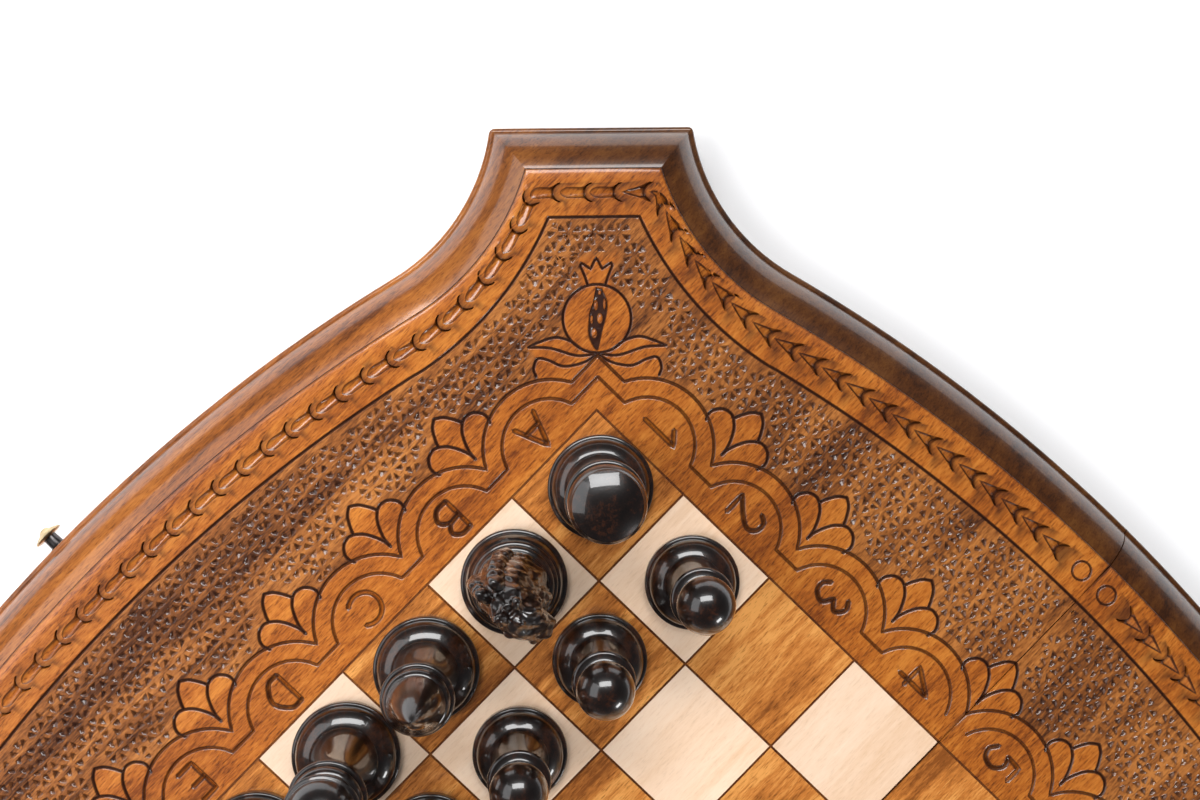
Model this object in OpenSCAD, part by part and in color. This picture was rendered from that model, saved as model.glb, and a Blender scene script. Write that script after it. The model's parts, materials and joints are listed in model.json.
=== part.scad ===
// Folding carved chess board with a lift-off set of turned pieces.
// X runs along the fold (files A to H), Y along the ranks (1 to 8), +Z is up.
// The origin is under the middle of the fold, on the table that the feet stand on.
// Half A holds ranks 1 to 4 and the latch peg, half B holds ranks 5 to 8 and the hook.

/* [Playing field] */
// Side of one playing square, from line to line
square = 40; // [36:0.5:42]
// Width of the sunk line between two squares
line_w = 0.8; // [0.4:0.1:1.5]
// Thickness of the inlaid squares
inlay_t = 2.5; // [1.5:0.1:3.5]

/* [Board outline] */
// Distance from the middle of the board to the middle of each bowed side
side_reach = 257; // [250:1:266]
// How much further out than the sides the flat tip of each corner lies
corner_rise = 63; // [58:0.5:70]
// Radius of the bow of each side
bow_r = 575; // [540:5:640]
// Radius of the hollow flank on each side of a corner
flank_r = 68; // [62:1:74]
// Width of the flat tip of each corner
tip_w = 68; // [60:1:76]
// Rounding of the upright edges at both ends of the tip
tip_round = 2.5; // [1:0.1:4]

/* [Case] */
// Height of the playing surface above the table
board_h = 36; // [32:1:46]
// Thickness of the carved panel
panel_t = 8; // [6:0.5:10]
// Thickness of the outer walls
wall_t = 18; // [16:0.5:20]
// Thickness of the rail beside the fold
spine_t = 16; // [14:0.5:22]
// Clearance of the panel's edge in its rabbet
panel_fit = 0.05; // [0.03:0.01:0.2]
// Gap between the two halves at the fold
seam_gap = 0.4; // [0.2:0.1:1]
// Gap left between the two rims when the case is shut
shut_gap = 0.2; // [0.1:0.05:0.4]

/* [Moulded edge] */
// Width of the moulding from the outer edge to the panel
edge_w = 14.5; // [13:0.5:15.5]
// Width of the flat ledge at the foot of the moulding
ledge_w = 1.8; // [1.6:0.1:3]
// Drop of the narrow step beside the panel
quirk_drop = 0.8; // [0.5:0.1:1.2]
// Height of the small step above the ledge
ledge_step = 0.5; // [0.3:0.1:1]
// Slope of the moulding's round beside the panel
crest_slope = 15; // [10:1:20]
// Slope of the moulding's round above the ledge
foot_slope = 70; // [62:1:74]
// Rounding of the ledge's outer edge
ledge_round = 1.2; // [0.8:0.1:1.5]

/* [Feet] */
// Height of the feet below the rim
foot_h = 2.4; // [2.4:0.1:3.5]
// Radius of a foot
foot_r = 4.5; // [3.5:0.1:5]
// Distance of a corner foot from the corner's middle line
foot_offset = 14; // [10:0.5:18]
// Distance of a foot from the fold
seam_foot_y = 12; // [9:0.5:20]
// Clearance round and above a foot in the pocket that takes it when shut
pocket_fit = 0.4; // [0.3:0.05:0.8]

/* [Hinges] */
// Distance of each hinge's middle from the middle of the fold
hinge_x = 112; // [60:1:150]
// Length of a hinge
hinge_len = 40; // [30:1:60]
// Reach of a leaf from the pin's axis
leaf_w = 13; // [12:0.5:13.5]
// Thickness of a leaf
leaf_t = 1.2; // [1:0.1:1.6]
// Outer radius of a knuckle
knuckle_r = 2.1; // [1.8:0.05:2.2]
// Radius of the hinge pin
pin_r = 1; // [0.8:0.05:1.2]
// Running clearance of the pin in its knuckles
pin_fit = 0.05; // [0.02:0.01:0.08]
// Clearance round a leaf, and between neighbouring knuckles
leaf_fit = 0.1; // [0.05:0.01:0.15]
// Radius of a hinge screw's shank
screw_r = 1.3; // [1:0.05:1.5]
// Length of a hinge screw
screw_len = 12; // [8:1:16]

/* [Latch] */
// Height of the peg and of the hook's pivot above the table
latch_z = 14.5; // [13:0.5:18]
// Radius of the peg's shank
peg_r = 2.45; // [2:0.05:2.8]
// Stand-off of the peg's head from the wall
peg_reach = 4.8; // [4.4:0.1:6]
// Radius of the peg's domed head
peg_head_r = 5.1; // [4.5:0.1:5.6]
// Thickness of the hook
hook_t = 1.6; // [1.2:0.1:2]
// Width of the hook's arm
hook_w = 6; // [5:0.5:8]
// Radius of the hook's pivot screw
pivot_r = 2; // [1.6:0.05:2.2]
// Depth of the peg and of the pivot screw in the wall
latch_depth = 11; // [8:0.5:14]
// Running clearance of the hook on its pivot screw
pivot_fit = 0.08; // [0.03:0.01:0.1]
// Clearance of the hook's mouth round the peg
hook_fit = 0.6; // [0.5:0.05:0.8]

/* [Chess pieces] */
// Radius of a pawn's base
pawn_base_r = 15.7; // [14:0.1:17]
// Radius of a rook's base
rook_base_r = 17.4; // [16:0.1:18.4]
// Radius of a knight's base
knight_base_r = 17.6; // [16:0.1:18.4]
// Radius of a bishop's base
bishop_base_r = 17.5; // [16:0.1:18.4]
// Radius of a queen's and a king's base
royal_base_r = 17.9; // [17:0.1:18.4]
// Height of a pawn
pawn_h = 55.5; // [50:0.5:60]
// Height of a rook
rook_h = 59; // [54:0.5:64]
// Height of a knight
knight_h = 64; // [58:0.5:70]
// Height of a bishop
bishop_h = 73.5; // [68:0.5:80]
// Height of a queen
queen_h = 82; // [78:0.5:88]
// Height of a king
king_h = 92; // [86:0.5:100]

/* [Hidden] */
FILES = ["a", "b", "c", "d", "e", "f", "g", "h"];
BACK_RANK = ["rook_a", "knight_b", "bishop_c", "queen", "king", "bishop_f", "knight_g", "rook_h"];
BOARD_NODES = [
  "carved_panel_a", "carved_panel_b",
  "light_squares_a", "light_squares_b", "dark_squares_a", "dark_squares_b",
  "front_rail_a", "front_rail_b", "left_rail_a", "right_rail_a", "left_rail_b", "right_rail_b",
  "corner_a1", "corner_h1", "corner_h8", "corner_a8", "spine_rail_a", "spine_rail_b",
  "feet_a", "feet_b", "hinge_leaves_a", "hinge_leaves_b", "hinge_pins",
  "hinge_screws_a", "hinge_screws_b", "latch_peg", "latch_hook", "hook_screw"
];
$fn = 96;

// Colours of the woods and metals
STAINED = "peru";
HONEY = "chocolate";
MAPLE = "navajowhite";
WALNUT = "#2b1a12";
PALE_PIECE = "burlywood";
BRASS = "goldenrod";
GUNMETAL = "dimgray";

// How far a cutter runs past what it cuts
past = 1;
// A hair's breadth that keeps two cuts from sharing one face
hair = 0.02;
// Half of the board's playing field
field = 4 * square;
// Height of the rims above the table, and of the hinge axis
rim_z = foot_h;
hinge_z = rim_z - shut_gap / 2;

// Distance from the middle of the board to the flat tip of each corner
corner_reach = side_reach + corner_rise;
// Centre of a bow's circle, from the middle of the board towards the far side
bow_back = bow_r - side_reach;
// A corner's own frame has +X out along the diagonal. This bow is the one on its -Y side
corner_bow = [-bow_back, bow_back] / sqrt(2);
corner_tip = [corner_reach, -tip_w / 2];

// Where two circles meet, on the right of the way from the first centre to the second
function meet(p, rp, q, rq) =
  let (
    d = norm(q - p),
    u = (q - p) / d,
    x = (d * d + rp * rp - rq * rq) / (2 * d),
    h = sqrt(rp * rp - x * x)
  ) p + x * u + h * [u[1], -u[0]];

// Centre of the flank's circle: it touches the bow and runs through the corner's tip
flank_c = meet(corner_bow, bow_r + flank_r, corner_tip, flank_r);
// Bow and flank touch on the line through both centres
touch_dir = (flank_c - corner_bow) / norm(flank_c - corner_bow);
bow_angle = 45 + atan2(touch_dir[1], touch_dir[0]);
flank_start = atan2(-touch_dir[1], -touch_dir[0]);

// The angle at which a flank, set in by inset, meets the tip's own line
function flank_end(inset) = acos((corner_reach - inset - flank_c[0]) / (flank_r + inset));
// Points of one flank, set in by inset, from just past the rail's joint to the tip
function flank_points(inset, steps) = [
  for (i = [1:steps])
    let (a = flank_start + (flank_end(inset) - flank_start) * i / steps)
      flank_c + (flank_r + inset) * [cos(a), sin(a)]
];
// A point of the corner's own frame in the board's frame, for the corner at angle dir
function turned_point(p, dir) = [p[0] * cos(dir) - p[1] * sin(dir), p[0] * sin(dir) + p[1] * cos(dir)];
// Points of the whole corner at angle dir
function corner_points(dir, inset, steps) =
  let (low = flank_points(inset, steps), high = [for (i = [steps - 1:-1:0]) [low[i][0], -low[i][1]]])
    [for (p = concat(low, high)) turned_point(p, dir)];
// Points of the bow whose middle lies at angle dir, from angle a0 to a1 about that middle
function bow_points(dir, inset, a0, a1, steps) = [
  for (i = [0:steps])
    let (a = dir + a0 + (a1 - a0) * i / steps)
      -bow_back * [cos(dir), sin(dir)] + (bow_r - inset) * [cos(a), sin(a)]
];

// The round of the moulding, measured in from the outer edge and up from the table
crest_z = board_h - quirk_drop;
round_r = (edge_w - ledge_w) / (sin(foot_slope) - sin(crest_slope));
round_c = [edge_w + round_r * sin(crest_slope), crest_z - round_r * cos(crest_slope)];
ledge_z = round_c[1] + round_r * cos(foot_slope) - ledge_step;
panel_z = board_h - panel_t;
// Middle of the wall's band, where the feet stand
band = wall_t / 2;

// Section of a rail: X is the distance in from the outer edge, Y the height
module rail_section() {
  shoulder = ledge_z - ledge_round;
  translate([0, rim_z]) square([wall_t, shoulder - rim_z]);
  translate([ledge_round, rim_z]) square([wall_t - ledge_round, ledge_z - rim_z]);
  translate([ledge_round, shoulder]) circle(ledge_round);
  intersection() {
    translate([ledge_w, rim_z]) square([edge_w - ledge_w, crest_z - rim_z]);
    translate(round_c) circle(round_r, $fn = 180);
  }
  translate([edge_w / 2, rim_z]) square([wall_t - edge_w / 2, panel_z - rim_z]);
}

// All that a moulded edge leaves of a block: the section, and everything behind and under it
module block_section(width) {
  rail_section();
  translate([0, -past]) square([width, rim_z + 2 * past]);
  translate([edge_w, -past]) square([width - edge_w, board_h + 3 * past]);
}

// A rail along the bow whose middle lies at angle dir, from angle a0 to a1
module bow_rail(dir, a0, a1) {
  translate(-bow_back * [cos(dir), sin(dir), 0])
    rotate([0, 0, dir + a0])
      rotate_extrude(angle = a1 - a0, $fn = 360)
        translate([bow_r, 0]) mirror([1, 0]) rail_section();
}

// The space inside a corner, set in from its outer edge, from height z0 up to z1
module corner_inside(inset, z0, z1) {
  difference() {
    translate([0, -2 * tip_w, z0]) cube([corner_reach - inset, 4 * tip_w, z1 - z0]);
    for (side = [-1, 1])
      translate([flank_c[0], side * flank_c[1], z0 - past])
        cylinder(r = flank_r + inset, h = z1 - z0 + 2 * past, $fn = 180);
  }
}

// All that lies inside one flank: side 1 is the flank at negative Y, side -1 the other one
module inside_flank(side, last, across) {
  mirror([0, (1 - side) / 2, 0])
    translate([flank_c[0], flank_c[1], 0])
      rotate([0, 0, last])
        rotate_extrude(angle = flank_start + 2 - last, $fn = 180)
          translate([flank_r, 0]) block_section(across);
}

// A shallow pocket in the rim that takes a foot of the other half when the case is shut
module foot_pocket(at) {
  translate([at[0], at[1], rim_z - past])
    cylinder(r = foot_r + pocket_fit, h = past + foot_h - shut_gap + pocket_fit);
}

// What the rounding takes off one upright edge: the wedge between both faces, less a cylinder
module tip_waste() {
  a = flank_end(tip_round);
  into_flank = [-cos(a), -sin(a)];
  translate(flank_c - (flank_r + tip_round) * into_flank)
    difference() {
      linear_extrude(board_h)
        polygon(2 * tip_round * [[0, 0], [1, 0], into_flank + [1, 0], into_flank]);
      translate([0, 0, -past]) cylinder(r = tip_round, h = board_h + 2 * past);
    }
}

// A corner in its own frame: two hollow flanks that run out to the flat tip
module corner_block() {
  inner = flank_c - (flank_r + wall_t + 2) * touch_dir;
  outer = flank_c - (flank_r - 2) * touch_dir;
  across = 3 * tip_w;
  last = flank_end(0) - 10;
  difference() {
    intersection() {
      translate([0, 0, rim_z])
        linear_extrude(board_h - rim_z)
          polygon([
            inner, outer, [corner_reach + 2, outer[1]],
            [corner_reach + 2, -outer[1]], [outer[0], -outer[1]], [inner[0], -inner[1]]
          ]);
      translate([corner_reach, 0, 0])
        rotate([90, 0, 0])
          linear_extrude(across, center = true) mirror([1, 0]) block_section(across);
      inside_flank(1, last, across);
      inside_flank(-1, last, across);
    }
    corner_inside(wall_t, 0, board_h + past);
    corner_inside(edge_w - hair, panel_z, board_h + past);
    foot_pocket([corner_reach - band, foot_offset]);
    tip_waste();
    mirror([0, 1, 0]) tip_waste();
  }
}

module corner(dir) {
  color(STAINED) rotate([0, 0, dir]) corner_block();
}

// Plan of one half of the board, for y below 0, set in from the outer edge
module half_plan(inset) {
  polygon(concat(
    bow_points(180, inset, 0, bow_angle, 16),
    corner_points(225, inset, 24),
    bow_points(270, inset, -bow_angle, bow_angle, 32),
    corner_points(315, inset, 24),
    bow_points(360, inset, -bow_angle, 0, 16)
  ));
}

// All that lies across the fold from half A, with the gap
module beyond_fold() {
  translate([-2 * bow_r, -seam_gap / 2, -past]) cube([4 * bow_r, bow_r, 2 * board_h]);
}

// Half B is half A turned half round
module half_b() {
  rotate([0, 0, 180]) children();
}

// The carved panel of a half, with the sinking that its squares lie in
module carved_panel() {
  color(STAINED)
    difference() {
      translate([0, 0, panel_z]) linear_extrude(panel_t) half_plan(edge_w + panel_fit);
      beyond_fold();
      translate([-field - line_w / 2, -field - line_w / 2, board_h - inlay_t])
        cube([2 * field + line_w, field + line_w, inlay_t + past]);
    }
}

// The inlaid squares of a half whose file and rank numbers add up to an even or odd number
module squares(parity) {
  for (file = [0:7], rank = [0:3])
    if ((file + rank) % 2 == parity)
      translate([
        -field + file * square + line_w / 2, -field + rank * square + line_w / 2,
        board_h - inlay_t
      ])
        cube([square - line_w, square - line_w, inlay_t]);
}

module dark_squares() { color(HONEY) squares(0); }
module light_squares() { color(MAPLE) squares(1); }

// Rails of half A. The front rail has the hole of the latch peg or the hook's screw
module front_rail(hole_r) {
  color(STAINED)
    difference() {
      bow_rail(270, -bow_angle, bow_angle);
      translate([0, -side_reach + latch_depth, latch_z])
        rotate([90, 0, 0]) cylinder(r = hole_r, h = latch_depth + past);
    }
}

// A side rail ends a hair short of the middle, by half the gap at the fold
seam_angle = asin(seam_gap / 2 / (bow_r - wall_t));
module left_rail() {
  color(STAINED) bow_rail(180, seam_angle, bow_angle);
}

module right_rail() {
  color(STAINED)
    difference() {
      bow_rail(0, -bow_angle, -seam_angle);
      foot_pocket([side_reach - band, -seam_foot_y]);
    }
}

// Places of the screws in a hinge, and of the hinges along the fold
screw_places = [for (i = [-1:1]) [i * hinge_len / 3, -(leaf_w + knuckle_r) / 2]];
HINGE_SIDES = [-1, 1];

// The rail beside the fold, let in for the hinges
module spine_rail() {
  color(STAINED)
    difference() {
      translate([-side_reach, -seam_gap / 2 - spine_t, rim_z])
        cube([2 * side_reach, spine_t, panel_z - rim_z]);
      for (side = HINGE_SIDES) {
        difference() {
          translate([side * side_reach, -2 * spine_t, 0])
            translate([-bow_r / 2, 0, 0]) cube([bow_r, 3 * spine_t, board_h]);
          translate([-side * bow_back, 0, -past])
            cylinder(r = bow_r - wall_t, h = board_h + 2 * past, $fn = 360);
        }
        translate([side * hinge_x, 0, 0]) {
          translate([-hinge_len / 2 - leaf_fit, -leaf_w - leaf_fit, rim_z - past])
            cube([hinge_len + 2 * leaf_fit, leaf_w + leaf_fit + past, leaf_t + past]);
          translate([-hinge_len / 2 - leaf_fit, 0, hinge_z])
            rotate([0, 90, 0])
              cylinder(r = knuckle_r + 3 * leaf_fit, h = hinge_len + 2 * leaf_fit);
          for (p = screw_places)
            translate([p[0], p[1], rim_z]) cylinder(r = screw_r + 0.02, h = screw_len + past);
        }
      }
    }
}

// Feet of half A, glued to the rims
foot_places = [
  turned_point([corner_reach - band, -foot_offset], 225),
  turned_point([corner_reach - band, -foot_offset], 315),
  [-(side_reach - band), -seam_foot_y]
];
module feet() {
  edge = 0.8;
  color(WALNUT)
    for (p = foot_places)
      translate([p[0], p[1], 0])
        rotate_extrude() {
          square([foot_r - edge, foot_h]);
          translate([0, edge]) square([foot_r, foot_h - edge]);
          translate([foot_r - edge, edge]) circle(edge);
        }
}

// One leaf of a hinge, for y below 0, with the knuckles named by their numbers along X
KNUCKLES = 5;
knuckle_len = hinge_len / KNUCKLES;
module hinge_leaf(numbers) {
  bore_r = pin_r + pin_fit;
  difference() {
    union() {
      translate([-hinge_len / 2, -leaf_w, rim_z])
        cube([hinge_len, leaf_w - knuckle_r - 2 * leaf_fit, leaf_t]);
      for (i = numbers)
        translate([-hinge_len / 2 + i * knuckle_len + leaf_fit / 2, 0, 0]) {
          translate([0, -knuckle_r - 3 * leaf_fit, rim_z])
            cube([knuckle_len - leaf_fit, knuckle_r + 3 * leaf_fit, leaf_t]);
          translate([0, 0, hinge_z])
            rotate([0, 90, 0]) cylinder(r = knuckle_r, h = knuckle_len - leaf_fit);
        }
    }
    translate([-hinge_len, 0, hinge_z]) rotate([0, 90, 0]) cylinder(r = bore_r, h = 2 * hinge_len);
    for (p = screw_places)
      translate([p[0], p[1], rim_z])
        cylinder(r1 = screw_r + leaf_t + 0.02, r2 = screw_r + 0.02, h = leaf_t);
  }
}

module hinge_leaves_a() {
  color(BRASS)
    for (side = HINGE_SIDES) translate([side * hinge_x, 0, 0]) hinge_leaf([0, 2, 4]);
}

module hinge_leaves_b() {
  color(BRASS)
    mirror([0, 1, 0])
      for (side = HINGE_SIDES) translate([side * hinge_x, 0, 0]) hinge_leaf([1, 3]);
}

module hinge_pins() {
  color(BRASS)
    for (side = HINGE_SIDES)
      translate([side * hinge_x - hinge_len / 2, 0, hinge_z])
        rotate([0, 90, 0]) cylinder(r = pin_r, h = hinge_len);
}

// Countersunk slotted screws of the two leaves on half A
module hinge_screws() {
  slot_w = 0.6;
  point = 2 * screw_r;
  color(BRASS)
    for (side = HINGE_SIDES, p = screw_places)
      translate([side * hinge_x + p[0], p[1], rim_z])
        difference() {
          union() {
            cylinder(r1 = screw_r + leaf_t, r2 = screw_r, h = leaf_t);
            cylinder(r = screw_r, h = screw_len - point);
            translate([0, 0, screw_len - point]) cylinder(r1 = screw_r, r2 = 0.1, h = point);
          }
          translate([-2 * screw_r, -slot_w / 2, -past])
            cube([4 * screw_r, slot_w, past + leaf_t / 2]);
        }
}

// Stand on the wall of the front rail of half A, with +Z pointing out of the wall
module on_wall() {
  translate([0, -side_reach, latch_z]) rotate([90, 0, 0]) children();
}

// The peg: a dark shank with a brass head, a low dome with a raised boss
module latch_peg() {
  boss_r = peg_head_r / 2;
  color(GUNMETAL)
    on_wall() {
      translate([0, 0, -latch_depth]) cylinder(r = peg_r, h = latch_depth + peg_reach);
      translate([0, 0, peg_reach]) cylinder(r = peg_head_r, h = 0.5);
      translate([0, 0, peg_reach + 0.5]) cylinder(r1 = peg_head_r, r2 = 0.7 * peg_head_r, h = 1.1);
      translate([0, 0, peg_reach + 1.4 - boss_r / 4])
        intersection() {
          sphere(boss_r);
          cylinder(r = boss_r, h = boss_r);
        }
    }
}

// Distance between the peg and the hook's pivot when the case is shut
hook_reach = 2 * (latch_z - hinge_z);
// Where the hook lies between the wall and the peg's head, and its play
hook_out = (peg_reach - hook_t) / 2;
hook_play = 0.1;
mouth_r = peg_r + hook_fit;
eye_r = mouth_r + hook_w / 2;

// The hook lies along the wall of half B and swings down about its screw
module latch_hook() {
  color(GUNMETAL)
    translate([0, side_reach + hook_out + hook_t, latch_z])
      rotate([90, 0, 0])
        linear_extrude(hook_t)
          difference() {
            union() {
              circle(pivot_r + hook_w / 2);
              translate([0, -hook_w / 2]) square([hook_reach, hook_w]);
              translate([hook_reach, 0]) circle(eye_r);
              translate([hook_reach + eye_r, hook_w / 4]) circle(hook_w / 3);
            }
            circle(pivot_r + pivot_fit);
            translate([hook_reach, 0]) circle(mouth_r);
            translate([hook_reach - mouth_r, -2 * eye_r]) square([2 * mouth_r, 2 * eye_r]);
          }
}

// The hook's screw: shank in the wall, collar under the hook, round head over it
module hook_screw() {
  head_r = pivot_r + hook_w / 4;
  head_h = 1.8;
  top = hook_out + hook_t + hook_play;
  color(GUNMETAL)
    half_b() on_wall() {
      translate([0, 0, -latch_depth]) cylinder(r = pivot_r, h = latch_depth + top);
      cylinder(r = head_r, h = hook_out - hook_play);
      translate([0, 0, top])
        difference() {
          intersection() {
            cylinder(r = head_r, h = head_h);
            translate([0, 0, head_h - 2.5 * head_r]) sphere(2.5 * head_r);
          }
          translate([-2 * head_r, -0.4, head_h / 2]) cube([4 * head_r, 0.8, head_h]);
        }
    }
}

// A turned disc with a half-round edge: radius r, from height z, h thick
module bead(r, z, h) {
  translate([0, z]) square([r - h / 2, h]);
  translate([r - h / 2, z + h / 2]) circle(h / 2, $fn = 48);
}

// A turned stem from radius r1 at z1 to r2 at z2, hollowed by sag halfway
module stem(r1, z1, r2, z2, sag) {
  chord = norm([r2 - r1, z2 - z1]);
  out = [z2 - z1, r1 - r2] / chord;
  hollow_r = (chord * chord / 4 + sag * sag) / (2 * sag);
  difference() {
    polygon([[0, z1], [r1, z1], [r2, z2], [0, z2]]);
    translate([r1 + r2, z1 + z2] / 2 + (hollow_r - sag) * out) circle(hollow_r, $fn = 180);
  }
}

// A turned cone from radius r1 at z1 to r2 at z2
module taper(r1, z1, r2, z2) {
  polygon([[0, z1], [r1, z1], [r2, z2], [0, z2]]);
}

// A piece turned from the section that its children draw
module turning(h) {
  rotate_extrude()
    intersection() {
      square([2 * square, h]);
      union() children();
    }
}

// Foot of every piece: a thin flange, a second tier and a hollow body up to a collar
module body_section(base_r, collar_r, collar_z, sag) {
  bead(base_r, 0, 4.2);
  bead(base_r - 1.7, 3.8, 3.4);
  stem(base_r - 2.6, 6.8, collar_r - 4, collar_z + 1, sag);
  bead(collar_r, collar_z, 2.2);
}

module pawn() {
  ball_r = 9;
  collar_z = pawn_h - 2 * ball_r - 3.4;
  turning(pawn_h) {
    body_section(pawn_base_r, 10, collar_z, 3);
    taper(7.4, collar_z + 2, 5.5, collar_z + 6);
    translate([0, pawn_h - ball_r]) circle(ball_r);
  }
}

module rook() {
  cap_r = 12;
  cap_h = 14.4;
  dome_r = 22;
  collar_z = rook_h - cap_h - 4.6;
  turning(rook_h) {
    body_section(rook_base_r, 12.6, collar_z, 3);
    taper(9.4, collar_z + 2, 9.4, collar_z + 7);
    intersection() {
      translate([0, rook_h - dome_r]) circle(dome_r, $fn = 180);
      bead(cap_r, rook_h - cap_h, cap_h);
    }
  }
}

module bishop() {
  collar_z = bishop_h - 29;
  turning(bishop_h) {
    body_section(bishop_base_r, 11.4, collar_z, 3.6);
    bead(10.2, collar_z + 2, 5.2);
    taper(8.8, collar_z + 6.6, 0.6, bishop_h);
  }
}

module queen() {
  ball_r = 3.6;
  collar_z = queen_h - 31;
  turning(queen_h) {
    body_section(royal_base_r, 12, collar_z, 4);
    bead(11, collar_z + 2, 5.4);
    stem(7.6, collar_z + 7, 10.4, collar_z + 15, 1);
    bead(11.6, collar_z + 14, 2);
    intersection() {
      translate([0, collar_z + 14]) circle(10.6);
      translate([0, collar_z + 14]) square([12, queen_h]);
    }
    translate([0, queen_h - ball_r]) circle(ball_r);
  }
}

module king() {
  collar_z = king_h - 38;
  turning(king_h) {
    body_section(royal_base_r, 12.2, collar_z, 4);
    bead(11.2, collar_z + 2, 5.4);
    stem(7.8, collar_z + 7, 11.4, collar_z + 17, 1.2);
    bead(12.2, collar_z + 16, 2.4);
    intersection() {
      translate([0, collar_z + 13]) circle(11.6);
      translate([0, collar_z + 17]) square([12, king_h]);
    }
    bead(4.4, king_h - 14, 2);
    taper(2.4, king_h - 13, 4.6, king_h - 5);
    stem(4.6, king_h - 5, 0.8, king_h, 0.4);
  }
}

// Side view of the horse's head and neck, looking along X, with the muzzle towards +Y
module horse_side() {
  top = knight_h;
  offset(1.2, $fn = 16)
    offset(-1.2, $fn = 16)
      polygon([
        [-11, 12], [-12.5, top - 42], [-12, top - 30], [-9, top - 17], [-4.5, top - 8],
        [-1.6, top - 1.6], [0, top], [2.4, top - 6], [6, top - 9.5], [10.5, top - 15.5],
        [14.8, top - 20.5], [14.6, top - 24.5], [11, top - 26.5], [6.4, top - 24.5],
        [4.4, top - 27], [8.2, top - 36], [10.4, top - 44], [10.4, 12]
      ]);
}

// Front view of the horse's head: broad at the neck, narrow at the ears
module horse_front() {
  top = knight_h;
  offset(1.2, $fn = 16)
    offset(-1.2, $fn = 16)
      polygon([
        [-11, 12], [-8.6, top - 38], [-7.6, top - 24], [-7, top - 12], [-5.6, top - 4],
        [-3.6, top], [-1.6, top - 4], [1.6, top - 4], [3.6, top], [5.6, top - 4],
        [7, top - 12], [7.6, top - 24], [8.6, top - 38], [11, 12]
      ]);
}

module knight() {
  plinth_z = 15;
  turning(knight_h) {
    bead(knight_base_r, 0, 4.2);
    bead(knight_base_r - 1.7, 3.8, 3.4);
    stem(knight_base_r - 2.6, 6.8, 12, plinth_z - 1, 1);
    bead(13.4, plinth_z - 2.4, 2.4);
  }
  intersection() {
    rotate([90, 0, 90]) linear_extrude(2 * square, center = true) horse_side();
    rotate([90, 0, 0]) linear_extrude(2 * square, center = true) horse_front();
  }
}

// The piece whose name starts with kind
module piece(kind) {
  if (kind[0] == "p") pawn();
  if (kind[0] == "r") rook();
  if (kind[0] == "b") bishop();
  if (kind[0] == "q") queen();
  if (kind[0] == "k" && kind[1] == "n") knight();
  if (kind[0] == "k" && kind[1] == "i") king();
}

// How far the dark pieces stand from the middles of their squares, file by file
back_shift = [[-2.7, -1.5], [-0.7, -0.2], [-0.1, -0.9], [-1.4, 0], [0.4, -0.6], [0, 0], [0.6, 0.4], [0, 0]];
pawn_shift = [[-1.2, 2.1], [-1.5, -1.8], [-1.1, 0.8], [0, -0.5], [0.5, 0], [0, 0.6], [-0.4, 0], [0, 0]];

// Stand a piece on file and rank, counted from 0, at a shift from the square's middle
module stand(file, rank, shift) {
  translate([
    -field + (file + 0.5) * square + shift[0], -field + (rank + 0.5) * square + shift[1], board_h
  ])
    children();
}

carved_panel();  // carved_panel_a
half_b() carved_panel();  // carved_panel_b
light_squares();  // light_squares_a
half_b() light_squares();  // light_squares_b
dark_squares();  // dark_squares_a
half_b() dark_squares();  // dark_squares_b
front_rail(peg_r);  // front_rail_a
half_b() front_rail(pivot_r);  // front_rail_b
left_rail();  // left_rail_a
right_rail();  // right_rail_a
half_b() right_rail();  // left_rail_b
half_b() left_rail();  // right_rail_b
corner(225);  // corner_a1
corner(315);  // corner_h1
corner(45);  // corner_h8
corner(135);  // corner_a8
spine_rail();  // spine_rail_a
half_b() spine_rail();  // spine_rail_b
feet();  // feet_a
half_b() feet();  // feet_b
hinge_leaves_a();
hinge_leaves_b();
hinge_pins();
hinge_screws();  // hinge_screws_a
half_b() hinge_screws();  // hinge_screws_b
latch_peg();
latch_hook();
hook_screw();
for (i = [0:7]) {
  color(WALNUT) stand(i, 0, back_shift[i]) piece(BACK_RANK[i]);
  color(WALNUT) stand(i, 1, pawn_shift[i]) pawn();
  color(PALE_PIECE) stand(i, 7, -back_shift[7 - i]) rotate([0, 0, 180]) piece(BACK_RANK[i]);
  color(PALE_PIECE) stand(i, 6, -pawn_shift[7 - i]) pawn();
}
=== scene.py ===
# Looks of the folding carved chess board and its turned pieces.
# Lengths are millimetres in the board's own frame until a mesh is made, and Blender works in metres.
import json
import random
from math import acos, asin, atan2, ceil, cos, degrees, dist, pi, radians, sin, sqrt

import bmesh
import bpy
import numpy as np
from mathutils import Matrix, Vector
from mathutils.geometry import delaunay_2d_cdt

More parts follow.
